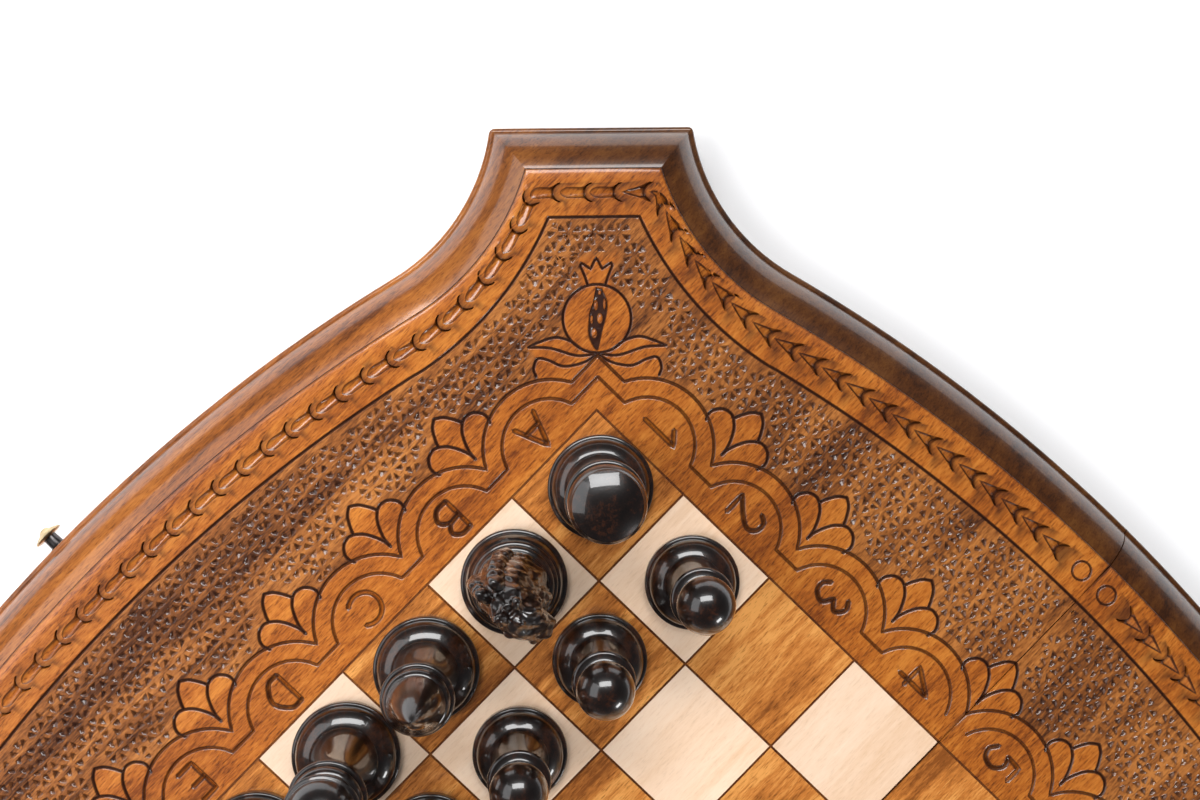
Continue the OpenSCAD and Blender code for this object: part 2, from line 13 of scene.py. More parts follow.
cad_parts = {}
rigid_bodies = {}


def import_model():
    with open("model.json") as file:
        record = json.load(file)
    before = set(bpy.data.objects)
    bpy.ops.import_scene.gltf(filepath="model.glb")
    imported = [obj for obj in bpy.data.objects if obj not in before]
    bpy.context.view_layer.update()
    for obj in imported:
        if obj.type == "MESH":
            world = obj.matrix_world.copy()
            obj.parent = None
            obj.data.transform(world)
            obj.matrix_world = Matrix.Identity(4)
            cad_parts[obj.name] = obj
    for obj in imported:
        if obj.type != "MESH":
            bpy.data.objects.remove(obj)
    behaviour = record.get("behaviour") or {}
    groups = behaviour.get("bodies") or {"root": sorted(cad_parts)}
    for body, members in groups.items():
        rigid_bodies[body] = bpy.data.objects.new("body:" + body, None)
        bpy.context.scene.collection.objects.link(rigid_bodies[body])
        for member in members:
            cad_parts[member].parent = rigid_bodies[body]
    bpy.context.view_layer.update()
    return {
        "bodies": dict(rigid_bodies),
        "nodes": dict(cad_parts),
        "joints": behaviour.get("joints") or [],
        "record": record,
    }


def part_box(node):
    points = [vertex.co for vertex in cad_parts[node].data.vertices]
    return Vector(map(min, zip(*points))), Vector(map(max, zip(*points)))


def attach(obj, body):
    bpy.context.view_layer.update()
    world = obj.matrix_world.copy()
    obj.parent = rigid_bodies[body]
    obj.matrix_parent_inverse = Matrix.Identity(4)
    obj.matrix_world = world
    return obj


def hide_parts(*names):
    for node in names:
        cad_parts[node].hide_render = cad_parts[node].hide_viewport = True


MM = 0.001
SQUARE = 40.0
LINE_W = 0.8
FIELD = 4 * SQUARE
BOARD_Z = 36.0
PANEL_Z = 28.0
INLAY_Z = 33.5
LINE_Z = 35.75
SEAM = 0.2
PANEL_INSET = 14.6

# Outline of the board, as in the CAD
BOW_R = 575.0
BOW_BACK = BOW_R - 257.0
FLANK_R = 68.0
CORNER_REACH = 320.0
TIP_W = 68.0
# Middle of the bow beside a corner, where X runs out along the corner's diagonal
BOW_CENTRE = (-BOW_BACK / sqrt(2), BOW_BACK / sqrt(2))

# The border line that runs round the carved ground, and the leaf chain outside it
BORDER_INSET = 31.3
BORDER_ANGLE = 13.445
BORDER_FLANK = (335.5, 119.3)
BORDER_FLANK_R = 114.1
BORDER_TAB = 289.5
# A parallel line's end at the corner moves by this share of its distance
TAB_SHARE = 0.94
CHAIN_INSET = 23.4

# Scallops round the playing field, outer and inner: distance of the cusps from it, radii, and how far out
# the inner arcs have their centres
OUT_V = 12.3
OUT_R = 22.5
IN_V = 7.4
IN_R = 15.8
IN_C = 2.6

# The hand-carved pattern lies a little off the squares
PATTERN_SHIFT = -0.75

# Section of a cut: its rounded lip takes this share of the half width, then the wall falls to the middle
LIP_SHARE = 0.4
LIP_FALL = 0.135
WALL_FALL = 0.9
# Widths of the strokes, and the longest stretch between the points of one
LINE_STROKE = 1.5
FRUIT_STROKE = 1.3
BORDER_STROKE = 1.35
GLYPH_STROKE = 2.3
RING_STROKE = 1.1
STROKE_STEP = 1.15
# Rounding of the panel's own edge: distance in from the edge, drop and how dark it is, which is painted
# shade of the step down to the moulding
EDGE_STEPS = [(0.0, 0.75, 0.95), (0.25, 0.55, 0.65), (0.9, 0.33, 0.0), (2.0, 0.12, 0.0), (3.6, 0.0, 0.0)]
# The same lines' distances from the fold
SEAM_STEPS = [0.0, 0.3, 0.65, 1.1, 1.7]
# How dark the panel's sides are, painted shade in the gap beside the moulding, and the lines between the
# squares, painted shade of their sunk gaps with the lines' own dark colour
SIDE_SHADE_TONE = 0.3
LINE_TONE = 0.74

# Lattices of the ground's chips: distance between nodes in a row and between rows, and how far they go
CHIP_PITCH = 8.6
CHIP_ROW = 7.25
SIDE_REACH = 262.0
TAB_FROM = 258.0
# First row on a tab, from the border's end, then where the tab's sides would meet and how steep they are
TAB_ROW = 5.2
TAB_TIP = 226.0
TAB_SLOPE = 0.62
# How unsteady the nodes are, and the least distances between nodes of two lattices and between two chips
NODE_SPREAD = 0.3
NODE_GAP = 6.6
CHIP_GAP = 1.7


def turn(p, angle):
    c = cos(radians(angle))
    s = sin(radians(angle))
    return (p[0] * c - p[1] * s, p[0] * s + p[1] * c)


def side_point(angle, u, v):
    """A point u along a side and v out from the playing field; the side faces the direction angle."""
    return turn((FIELD + v, u), angle)


def corner_point(angle, across, out):
    """A point out from a corner of the field along its diagonal, and across it."""
    return turn((FIELD * sqrt(2) + out, across), angle)


def on_side(angle, line):
    return [side_point(angle, u, v) for u, v in line]


def arc(centre, r, a0, a1, steps):
    angles = [radians(a0 + (a1 - a0) * i / steps) for i in range(steps + 1)]
    return [(centre[0] + r * cos(a), centre[1] + r * sin(a)) for a in angles]


def curve(points, steps=6):
    """A smooth line through points."""
    first = (2 * points[0][0] - points[1][0], 2 * points[0][1] - points[1][1])
    last = (2 * points[-1][0] - points[-2][0], 2 * points[-1][1] - points[-2][1])
    all_points = [Vector(p) for p in [first, *points, last]]
    out = []
    for p0, p1, p2, p3 in zip(all_points, all_points[1:], all_points[2:], all_points[3:]):
        for k in range(steps):
            t = k / steps
            a = (p2 - p0) * t + (2 * p0 - 5 * p1 + 4 * p2 - p3) * t**2
            b = (3 * p1 - p0 - 3 * p2 + p3) * t**3
            out.append(tuple(0.5 * (2 * p1 + a + b)))
    return out + [tuple(points[-1])]


def meet(p, rp, q, rq):
    """Where two circles meet, on the right of the way from the first centre to the second."""
    d = dist(p, q)
    ux, uy = (q[0] - p[0]) / d, (q[1] - p[1]) / d
    x = (d * d + rp * rp - rq * rq) / (2 * d)
    h = sqrt(rp * rp - x * x)
    return (p[0] + x * ux + h * uy, p[1] + x * uy - h * ux)


def bow(direction, r, a0, a1, steps):
    centre = turn((-BOW_BACK, 0), direction)
    return arc(centre, r, direction + a0, direction + a1, steps)


def half_path(r, angle, corner, seam_side):
    """A line round half A: bows of radius r to the given angle, and corner points in the corner's frame."""
    end = degrees(asin(seam_side / r))
    path = bow(180, r, end, angle, 24)
    path += [turn(p, 225) for p in corner[1:-1]]
    path += bow(270, r, -angle, angle, 48)
    path += [turn(p, 315) for p in corner[1:-1]]
    return path + bow(360, r, -angle, -end, 24)


def with_mirror(low):
    """The whole line of a corner, from its half below the diagonal."""
    return low + [(x, -y) for x, y in reversed(low)]


def panel_outline(inset, seam_side):
    """A line round half A that is parallel to the board's outline, and set in from it."""
    tip = (CORNER_REACH, -TIP_W / 2)
    fx, fy = meet(BOW_CENTRE, BOW_R + FLANK_R, tip, FLANK_R)
    touch = degrees(atan2(fy - BOW_CENTRE[1], fx - BOW_CENTRE[0]))
    r = FLANK_R + inset
    end = degrees(acos((CORNER_REACH - inset - fx) / r))
    corner = with_mirror(arc((fx, fy), r, touch + 180, end, 22))
    return half_path(BOW_R - inset, 45 + touch, corner, seam_side)


def border(inset, seam_side):
    """A line parallel to the border line, set in from the outer edge by inset."""
    out = BORDER_INSET - inset
    fx, fy = BORDER_FLANK
    r = BORDER_FLANK_R - out
    tab = BORDER_TAB + TAB_SHARE * out
    start = degrees(atan2(BOW_CENTRE[1] + fy, BOW_CENTRE[0] - fx))
    end = degrees(acos((tab - fx) / r))
    corner = with_mirror(arc((fx, -fy), r, start, end, 20))
    return half_path(BOW_R - inset, BORDER_ANGLE, corner, seam_side)


def inside(points, polygon):
    """Which of the points lie inside the polygon."""
    points = np.asarray(points, float)
    x, y = points[:, 0], points[:, 1]
    result = np.zeros(len(points), bool)
    x0, y0 = polygon[-1]
    for x1, y1 in polygon:
        if y0 != y1:
            crosses = (y0 > y) != (y1 > y)
            result ^= crosses & (x < (x1 - x0) * (y - y0) / (y1 - y0) + x0)
        x0, y0 = x1, y1
    return result


def subdivided(path, longest):
    """The path with more points on it, so that no stretch is longer than longest."""
    out = [path[0]]
    for p, q in zip(path, path[1:]):
        length = dist(p, q)
        if length > 0.05:
            count = ceil(length / longest)
            dx, dy = q[0] - p[0], q[1] - p[1]
            out += [(p[0] + dx * i / count, p[1] + dy * i / count) for i in range(1, count + 1)]
    return np.array(out)


def tangents(path):
    step = np.diff(path, axis=0)
    along = step / np.maximum(np.linalg.norm(step, axis=1), 1e-6)[:, None]
    tangent = np.vstack([along[:1], along[:-1] + along[1:], along[-1:]])
    return tangent / np.maximum(np.linalg.norm(tangent, axis=1), 1e-6)[:, None]


class Carving:
    """Points, lines and cuts that a carved surface is triangulated from."""

    def __init__(self, shift):
        self.shift = shift
        self.points = []
        self.heights = []
        self.tones = []
        self.edges = []
        self.cuts = []
        self.plain = []

    def line(self, path, heights=0.0, closed=False, tones=0.0):
        start = len(self.points)
        self.points += [(float(x), float(y)) for x, y in path]
        self.heights += list(np.broadcast_to(heights, len(path)))
        self.tones += list(np.broadcast_to(tones, len(path)))
        last = len(self.points) - 1
        self.edges += [(i, i + 1) for i in range(start, last)]
        if closed:
            self.edges.append((last, start))

    def stroke(self, path, width, bottom=1.0, lip=0.9):
        """A V cut with pointed ends. Bottom and lip say how dark it is in its middle and at its lips:
        pooled stain and painted shade.
        """
        path = subdivided(path, STROKE_STEP) + [self.shift, 0]
        half = width / 2
        tangent = tangents(path)
        normal = np.c_[-tangent[:, 1], tangent[:, 0]]
        closed = dist(path[0], path[-1]) < 0.2
        self.line(path)
        for reach in (half, (1 - LIP_SHARE) * half):
            left = path + reach * normal
            right = path - reach * normal
            if closed:
                self.line(left)
                self.line(right)
            else:
                head = path[-1] + reach * tangent[-1]
                tail = path[0] - reach * tangent[0]
                self.line([*left, head, *right[::-1], tail], closed=True)
        self.cuts += [(*p, *q, half, bottom, lip) for p, q in zip(path, path[1:])]

    def moved(self, polygon):
        return [(x + self.shift, y) for x, y in polygon]

    def keep_plain(self, polygon):
        """Keeps the chips out of the polygon, where the wood is as bright as outside the ground."""
        self.plain.append(self.moved(polygon))

    def cut_shape(self, points, margin=0.0):
        """The height that the cuts leave at each point, where 0 is the surface, and how dark it is there:
        pooled stain and painted shade.
        """
        points = np.asarray(points, float)
        height = np.zeros(len(points))
        tone = np.zeros(len(points))
        cuts = np.array(self.cuts)
        cell = 16.0
        widest = 2.0
        low = np.minimum(cuts[:, 0:2], cuts[:, 2:4]) - widest
        high = np.maximum(cuts[:, 0:2], cuts[:, 2:4]) + widest
        cells, member = np.unique(np.floor(points / cell).astype(int), axis=0, return_inverse=True)
        order = np.argsort(member.ravel(), kind="stable")
        groups = np.split(order, np.cumsum(np.bincount(member.ravel()))[:-1])
        for corner, group in zip(cells * cell, groups):
            near = cuts[((high > corner) & (low < corner + cell)).all(1)]
            if not len(near):
                continue
            a, ab = near[:, 0:2], near[:, 2:4] - near[:, 0:2]
            p = points[group][:, None, :]
            t = np.clip(((p - a) * ab).sum(2) / np.maximum((ab**2).sum(1), 1e-9), 0, 1)
            distance = np.sqrt(((p - a - t[..., None] * ab) ** 2).sum(2))
            half, bottom, lip = near[:, 4:].T
            into = np.clip(1 - distance / (half + margin), 0, 1)
            fall = np.interp(into, [0, LIP_SHARE, 1], [0, LIP_FALL, LIP_FALL + WALL_FALL])
            height[group] = -(fall * half).max(1)
            wall = np.clip((into - LIP_SHARE) / (1 - LIP_SHARE), 0, 1)
            dark = lip + (bottom - lip) * wall
            tone[group] = (dark * np.clip(into / LIP_SHARE, 0, 1)).max(1)
        return height, tone

    def surface(self, outline, field):
        """The places, heights, tones and faces of the carved surface from the outline to the field."""
        points = [Vector(p) for p in self.points]
        found, _, faces, origin, _, _ = delaunay_2d_cdt(points, self.edges, [], 0, 1e-4)
        places = np.array(found)
        height, tone = self.cut_shape(places)
        for i, sources in enumerate(origin):
            if sources:
                height[i] = min(height[i], min(self.heights[j] for j in sources))
                tone[i] = max(tone[i], max(self.tones[j] for j in sources))
        faces = np.array(faces)
        middles = places[faces].mean(1)
        faces = faces[inside(middles, outline) & ~inside(middles, field)]
        used = np.unique(faces)
        number = np.full(len(places), -1)
        number[used] = np.arange(len(used))
        return places[used], height[used], tone[used], number[faces]

    def mesh(self, name, ground):
        """A closed panel under the carved surface, sunk for the squares and with the lines between them."""
        for (into, drop, tone), past in zip(EDGE_STEPS, SEAM_STEPS):
            self.line(panel_outline(PANEL_INSET + into, SEAM + past), -drop, closed=True, tones=tone)
        outline = panel_outline(PANEL_INSET, SEAM)
        reach = FIELD + LINE_W / 2
        field = [(-reach, -reach), (reach, -reach), (reach, -SEAM), (-reach, -SEAM)]
        self.line(field, closed=True)
        places, height, tone, surface = self.surface(outline, field)
        verts = [(x, y, BOARD_Z + h) for (x, y), h in zip(places, height)]
        tone = list(tone)
        bright = ~inside(places, ground)
        for polygon in self.plain:
            bright |= inside(places, polygon)
        bright = list(bright.astype(float))
        faces = [tuple(f) for f in surface]
        sides = np.vstack([surface[:, [0, 1]], surface[:, [1, 2]], surface[:, [2, 0]]])
        pairs = {(a, b) for a, b in sides}
        rim = [(a, b) for a, b in pairs if (b, a) not in pairs]
        lower = {}
        edge = FIELD + LINE_W
        for a, b in sorted(rim):
            for i in (a, b):
                if i not in lower:
                    x, y, _ = verts[i]
                    lower[i] = len(verts)
                    verts.append((x, y, INLAY_Z if max(abs(x), abs(y)) < edge else PANEL_Z))
            faces.append((a, lower[a], lower[b], b))

        def add_faces(points, loops):
            start = len(verts)
            verts.extend(points)
            faces.extend(tuple(start + i for i in loop) for loop in loops)

        add_faces([(x, y, PANEL_Z) for x, y in outline], [range(len(outline))])
        add_faces([(x, y, INLAY_Z) for x, y in field], [(3, 2, 1, 0)])
        add_faces([(x, -SEAM, z) for z in (PANEL_Z, INLAY_Z) for x in (edge, -edge)], [(0, 1, 3, 2)])
        tone += [SIDE_SHADE_TONE] * (len(verts) - len(tone))
        # Strips in the gaps between the squares, darkened with painted shade of the gaps and the lines' own
        # colour
        for x0, y0, x1, y1 in square_lines():
            corners = ((x0, y0), (x1, y0), (x1, y1), (x0, y1))
            add_faces([(x, y, z) for z in (INLAY_Z + 0.05, LINE_Z) for x, y in corners], BOX_FACES)
        tone += [LINE_TONE] * (len(verts) - len(tone))
        bright += [1.0] * (len(verts) - len(bright))
        made = new_mesh(name, verts, faces, 60)
        keep_flats_flat(made)
        for key, values in (("cut", tone), ("bright", bright)):
            made.attributes.new(key, "FLOAT", "POINT").data.foreach_set("value", values)
        return made


BOX_FACES = ((3, 2, 1, 0), (4, 5, 6, 7), (0, 1, 5, 4), (1, 2, 6, 5), (2, 3, 7, 6), (3, 0, 4, 7))


def keep_flats_flat(mesh):
    """Sharp edges wherever the flat surface meets a cut, so that only the cuts are shaded round."""
    edges = np.empty(len(mesh.loops), int)
    mesh.loops.foreach_get("edge_index", edges)
    flat = np.concatenate([[p.normal.z > 0.99999] * p.loop_total for p in mesh.polygons])
    flats = np.bincount(edges, weights=flat, minlength=len(mesh.edges))
    total = np.bincount(edges, minlength=len(mesh.edges))
    sharp = np.array([e.use_edge_sharp for e in mesh.edges])
    mesh.edges.foreach_set("use_edge_sharp", sharp | ((flats > 0) & (flats < total)))


def square_lines():
    """The dark strips between the squares of half A, and round them, in the sunk gaps: their dark is painted
    shade of the gaps with the lines' own colour.
    """
    half = LINE_W / 2 - 0.02
    strips = []
    for row in range(-4, 1):
        y = row * SQUARE
        strips.append((-FIELD - half, y - half, FIELD + half, min(y + half, -SEAM - 0.05)))
        if row < 0:
            top = min(y + SQUARE - half, -SEAM - 0.4)
            strips += [(k * SQUARE - half, y + half, k * SQUARE + half, top) for k in range(-4, 5)]
    return strips


def new_mesh(name, verts, faces, angle=30):
    made = bpy.data.meshes.new(name)
    made.from_pydata([(x * MM, y * MM, z * MM) for x, y, z in verts], [], faces)
    made.validate()
    made.shade_smooth()
    made.set_sharp_from_angle(angle=radians(angle))
    return made


def link_object(name, data):
    made = bpy.data.objects.new(name, data)
    bpy.context.collection.objects.link(made)
    return made


def new_object(name, mesh, material, place=(0, 0, 0), turned=0):
    made = link_object(name, mesh)
    made.location = [value * MM for value in place]
    made.rotation_euler[2] = radians(turned)
    if material:
        mesh.materials.clear()
        mesh.materials.append(material)
    return made


# Strokes of the carved pattern
def scallop_lines():
    """Outer and inner scallop line of one side, as (u, v)."""
    half = SQUARE / 2
    out_c = OUT_V - sqrt(OUT_R**2 - half**2)
    out_half = degrees(asin(half / OUT_R))
    in_half = degrees(acos((IN_V - IN_C) / IN_R))
    lines = []
    for v, c, r, opened, steps in ((OUT_V, out_c, OUT_R, out_half, 22), (IN_V, IN_C, IN_R, in_half, 20)):
        line = [(-FIELD - v, v)]
        for k in range(8):
            line += arc((-FIELD + (k + 0.5) * SQUARE, c), r, 90 + opened, 90 - opened, steps)
        lines.append([*line, (FIELD + v, v)])
    return lines


def flower_lines(u0):
    """Three petals whose foot is the cusp at u0, as (u, v)."""
    stem = [(0, 5.0), (0.3, 7.9), (1.5, 11.2), (3.3, 14.3), (5.6, 16.4)]
    top = [(5.6, 16.4), (4.7, 18.6), (2.6, 22.0), (0, 23.9)]
    side = [(5.6, 16.4), (7.6, 17.0), (10.2, 16.3), (12.1, 14.2), (12.6, 12.0), (11.9, 9.8)]
    lines = [curve(line) for line in (stem, top, side)]
    return [[(u0 + s * u, OUT_V + v) for u, v in line] for s in (-1, 1) for line in lines]


FRUIT_C = (0, 29.5)
FRUIT_R = 11.2
# The split in the fruit, and the seeds in it: (across, out), half width and half height
SPLIT_LEFT = [(0.3, 39.9), (1.3, 35.1), (2.5, 31.8), (2.9, 29), (3.2, 24.7), (2.2, 21.4), (0, 18.1)]
SPLIT_RIGHT = [(-2, 39.4), (-3.7, 35.1), (-3.6, 31.8), (-3, 29), (-1.8, 25.2), (-0.9, 21.4), (0, 18.1)]
SEEDS = [
    ((-1, 38), 0.6, 0.95), ((0.3, 33.9), 0.85, 1.9), ((-2.5, 34.2), 0.5, 2.1),
    ((1.75, 29.2), 0.5, 1.65), ((-0.95, 29.5), 1.05, 1.9), ((0.95, 24.7), 1.05, 1.75),
]
# Floor of the split: its middle, its size as shares of the split's, and its depth
PIT_C = (-0.2, 29.0)
PIT_W = 0.86
PIT_H = 0.955
PIT_DEPTH = 0.7
# Rings of a seed from its foot up: share of its size, height and how dark, the dark at the foot being
# painted shade with pooled stain; then the height of its top
SEED_RINGS = [(1.0, -0.66, 1.0), (0.72, -0.2, 0.2)]
SEED_TOP = -0.08
# What the crown, a leaf and the lobe under it cover
CROWN_AREA = [(-4.6, 39), (-5.6, 49.6), (5.6, 49.6), (4.6, 39)]
LEAF_AREA = [(0, 16), (11, 14.2), (20.6, 17.4), (22.6, 20.6), (18.5, 22), (13.7, 23.3), (0, 20)]
LOBE_AREA = [(0, 0), (19.2, 10), (21.2, 13.4), (19, 16.6), (11, 15.2), (0, 18.4)]


def fruit_lines():
    """The pomegranate on a corner's diagonal, as (across, out)."""
    crown = [(-2.9, 40.6), (-3.9, 43.6), (-5.2, 46.6), (-4.9, 47.8), (-3.6, 46.9), (-1.9, 45.7), (-0.7, 48.2)]
    lines = [arc(FRUIT_C, FRUIT_R, 0, 360, 56), [*crown, (0, 49.3), *[(-x, y) for x, y in crown[::-1]]]]
    leaf_top = [(0, 18.1), (4.5, 19.2), (8.8, 22.2), (13.7, 23.5), (18.5, 22.2), (22.6, 20.4)]
    leaf_low = [(0, 18.1), (5, 17.4), (8.8, 17.9), (15.5, 20.0), (22.6, 20.4)]
    lobe = [(0, 18.1), (4.5, 15.2), (11.1, 14.0), (16, 16.0), (19.6, 16.6), (21, 13.4), (20.2, 10.6)]
    leaves = [curve(line) for line in (leaf_top, leaf_low, lobe)]
    return lines + [[(s * x, y) for x, y in line] for s in (-1, 1) for line in leaves]


# Strokes of the letters and numbers, standing on the line y = 0
GLYPHS = {
    "A": [[(-4.5, 0), (0, 11.5), (4.5, 0)], [(-2.9, 4), (2.9, 4)]],
    "B": [[(-3.2, 0), (-3.2, 11.5)], curve([(-3.2, 11.5), (0.6, 11.4), (2.8, 9), (0.8, 6.3), (-3.2, 6.1)]),
          curve([(-3.2, 6.1), (1.2, 6.0), (3.6, 3.2), (1.2, 0.2), (-3.2, 0)])],
    "C": [arc((0.6, 5.75), 5.5, 48, 312, 22)],
    "D": [[(-3.4, 0), (-3.4, 11.5)], curve([(-3.4, 11.5), (0.8, 11.1), (4.2, 5.75), (0.8, 0.4), (-3.4, 0)])],
    "E": [[(3.2, 11.5), (-3, 11.5), (-3, 0), (3.2, 0)], [(-3, 6), (2.2, 6)]],
    "F": [[(3.2, 11.5), (-3, 11.5), (-3, 0)], [(-3, 6), (2.2, 6)]],
    "G": [arc((0.4, 5.75), 5.5, 48, 350, 24) + [(1.4, 4.8)]],
    "H": [[(-3.6, 0), (-3.6, 11.5)], [(3.6, 0), (3.6, 11.5)], [(-3.6, 6), (3.6, 6)]],
    "1": [[(-3.2, 8.8), (0.8, 12.4), (0.8, -0.8)]],
    "2": [curve([(-3.4, 9.4), (-1.6, 11.8), (1.6, 11.6), (3.2, 9), (1.4, 5.4), (-3.6, 0)]),
          [(-3.6, 0), (3.8, 0)]],
    "3": [curve([(-3, 10.4), (0, 11.8), (2.8, 9.2), (0, 6.3)]),
          curve([(0, 6.3), (3.4, 3.6), (1.6, 0.2), (-1.4, -0.2), (-3.6, 1.8)])],
    "4": [[(2, -0.4), (2, 12), (-3.8, 3.4), (4, 3.4)]],
    "5": [[(3.2, 11.8), (-2.4, 11.8), (-2.8, 6.6)],
          curve([(-2.8, 6.6), (0.4, 7.6), (3.4, 4.8), (2.6, 1), (-0.4, -0.4), (-3.4, 1.4)])],
    "6": [curve([(2.4, 11.6), (-1.6, 8.4), (-3.2, 4)]), arc((0, 3.3), 3.3, 0, 360, 24)],
    "7": [[(-3.4, 11.6), (3.4, 11.6), (-1, -0.2)]],
    "8": [arc((0, 8.7), 2.8, 0, 360, 22), arc((0, 2.9), 3.1, 0, 360, 24)],
}
GLYPH_V = 9.0
GLYPH_MIDDLE = 5.75


def add_glyph(carving, text, place, up):
    """A letter whose middle is at place, with its top towards the sign up of Y."""
    for line in GLYPHS[text]:
        path = [(place[0] + up * x, place[1] + up * (y - GLYPH_MIDDLE)) for x, y in line]
        carving.stroke(path, GLYPH_STROKE, 0.05, 0.9)


def add_fruit(carving, angle):
    """The fruit in the corner that faces the direction angle."""

    def placed(shape):
        return [corner_point(angle, x, y) for x, y in shape]

    for line in fruit_lines():
        carving.stroke(placed(line), FRUIT_STROKE)
    split = curve(SPLIT_LEFT, 4) + curve(SPLIT_RIGHT[::-1], 4)[1:]
    carving.line(carving.moved(placed(split)), closed=True)
    cx, cy = PIT_C
    pit = placed([(cx + PIT_W * (x - cx), cy + PIT_H * (y - cy)) for x, y in split])
    # The split's floor is dark: pooled stain and painted shade
    carving.line(carving.moved(pit), -PIT_DEPTH, closed=True, tones=1.0)
    for (cx, cy), w, h in SEEDS:
        for share, height, tone in SEED_RINGS:
            ring = [(cx + share * w * c, cy + share * h * s) for c, s in arc((0, 0), 1, 0, 330, 11)]
            carving.line(carving.moved(placed(ring)), height, closed=True, tones=tone)
        carving.line(carving.moved(placed([(cx, cy)])), SEED_TOP)
    carving.keep_plain(placed(arc(FRUIT_C, FRUIT_R, 0, 350, 30)))
    carving.keep_plain(placed(CROWN_AREA))
    for s in (-1, 1):
        for area in (LEAF_AREA, LOBE_AREA):
            carving.keep_plain(placed([(s * x, y) for x, y in area]))


class Chain:
    """The leaf chain's middle line, and places along it."""

    def __init__(self, path):
        points = np.array(path)
        length = np.r_[0, np.cumsum(np.linalg.norm(np.diff(points, axis=0), axis=1))]
        self.length = length[-1]
        self.step = 0.4
        at = np.arange(0, self.length, self.step)
        window = np.ones(13) / 13
        even = [np.pad(np.interp(at, length, column), 6, "edge") for column in points.T]
        self.points = np.column_stack([np.convolve(column, window, "valid") for column in even])
        tangent = np.gradient(self.points, axis=0)
        self.tangent = tangent / np.linalg.norm(tangent, axis=1)[:, None]

    def place(self, s, t):
        i = min(max(s / self.step, 0), len(self.points) - 1.001)
        k = int(i)
        f = i - k
        p = self.points[k] * (1 - f) + self.points[k + 1] * f
        d = self.tangent[k] * (1 - f) + self.tangent[k + 1] * f
        d = d / np.linalg.norm(d)
        return (p[0] - t * d[1], p[1] + t * d[0])


# One link of the chain: s along the chain from the tip of its tongue, t across it. Each list is one half.
# The trough runs up to the tip. Walls lists lines along its sides: how far in, their share of the depth,
# how far they are below that, and how dark they are, with pooled stain and painted shade on the walls
ROUND_LINK = {
    "tongue": [(0, 0), (0.3, 1.2), (0.95, 2.1), (2.0, 2.7), (3.6, 2.95)],
    "trough": [
        (-8.4, 0), (-7.8, 1.0), (-6.5, 1.75), (-5, 2), (-3.4, 1.95), (-1.6, 1.9), (-0.4, 2.05), (0.6, 2.65),
        (1.8, 3.25), (3.6, 2.95),
    ],
    "walls": [(0.22, 0.0, 0.07, 0.85), (0.6, 0.62, 0.03, 0.55), (1.2, 0.92, 0.0, 0.12)],
    "pitch": 10.1,
}
POINTED_LINK = {
    "tongue": [(0, 0), (0.25, 0.8), (0.9, 1.7), (2.0, 2.6), (3.8, 3.4)],
    "trough": [(-8.2, 0), (-5, 1.05), (-2.6, 1.75), (-0.4, 2.45), (1.6, 3.35), (3.8, 3.4)],
    "walls": [(0.22, 0.0, 0.07, 0.95), (0.55, 0.75, 0.0, 0.9), (0.95, 0.92, 0.0, 0.1)],
    "pitch": 9.3,
}
LINK_DEPTH = 1.9
# Distance of the ring from the chain's end, and of the first link's tip, and the room that a link needs
RING_AT = 5.8
FIRST_TIP = 16.5
LINK_ROOM = 12.0


def add_link(carving, chain, tip, link):
    """One link, whose tongue ends at the distance tip along the chain."""

    def place(s, t):
        x, y = chain.place(tip + s, t)
        return x + carving.shift, y

    tongue = link["tongue"]
    trough = curve(link["trough"], 2)
    along = [p[0] for p in trough]
    across = [p[1] for p in trough]
    edge = curve([(s, -t) for s, t in reversed(tongue)] + tongue[1:], 2)
    ring = [(s, -t) for s, t in trough[1:-1]]
    loop = edge + trough[-2::-1] + ring
    # Dark along the tongue's edge and light over the trough, darkest at the wall's foot: pooled stain and
    # painted shade
    tones = [0.7] * len(edge) + [0.15] * (len(loop) - len(edge))
    carving.line([place(s, t) for s, t in loop], closed=True, tones=tones)

    def depth(s):
        return LINK_DEPTH * (1 - s / along[0] if s < 0 else (1 - s / along[-1]) ** 0.6)

    low = []
    heights = []
    for (s, t), (ds, dt) in list(zip(edge, tangents(np.array(edge))))[2:-2]:
        step = min(0.45, 0.55 * (np.interp(s, along, across) - abs(t)))
        low.append(place(s - step * abs(dt), t - step * ds * (1 if dt < 0 else -1)))
        heights.append(-depth(s))
    carving.line(low, heights, tones=1.0)
    for inward, share, below, tone in link["walls"]:
        path = [(s, w - inward) for s, w in trough if w > inward + 0.2 and s < -0.8]
        heights = [-min(below + share * depth(s), depth(s)) for s, _ in path]
        for side in (1, -1):
            carving.line([place(s, side * t) for s, t in path], heights, tones=tone)
    path = [s for s, w in trough if w > 0.8 and s < -0.8]
    carving.line([place(s, 0) for s in path], [-depth(s) for s in path], tones=0.1)


def add_chain(carving, reverse):
    """The chain from one end of the half's rim to the other, with all its tips towards its start."""
    path = border(CHAIN_INSET, SEAM)
    chain = Chain(path[::-1] if reverse else path)
    points = np.abs(chain.points)
    corner = np.argmin(np.abs(points[:, 0] - points[:, 1])[len(points) // 2 :]) + len(points) // 2
    turn_at = corner * chain.step
    tip = chain.length - FIRST_TIP
    while tip > RING_AT + LINK_ROOM:
        link = POINTED_LINK if tip > turn_at + LINK_ROOM else ROUND_LINK
        add_link(carving, chain, tip + random.uniform(-0.25, 0.25), link)
        tip -= link["pitch"]
    for at in (RING_AT, chain.length - RING_AT):
        carving.stroke(arc(chain.place(at, 0), 3.2, 0, 360, 26), RING_STROKE, 0.85, 0.85)


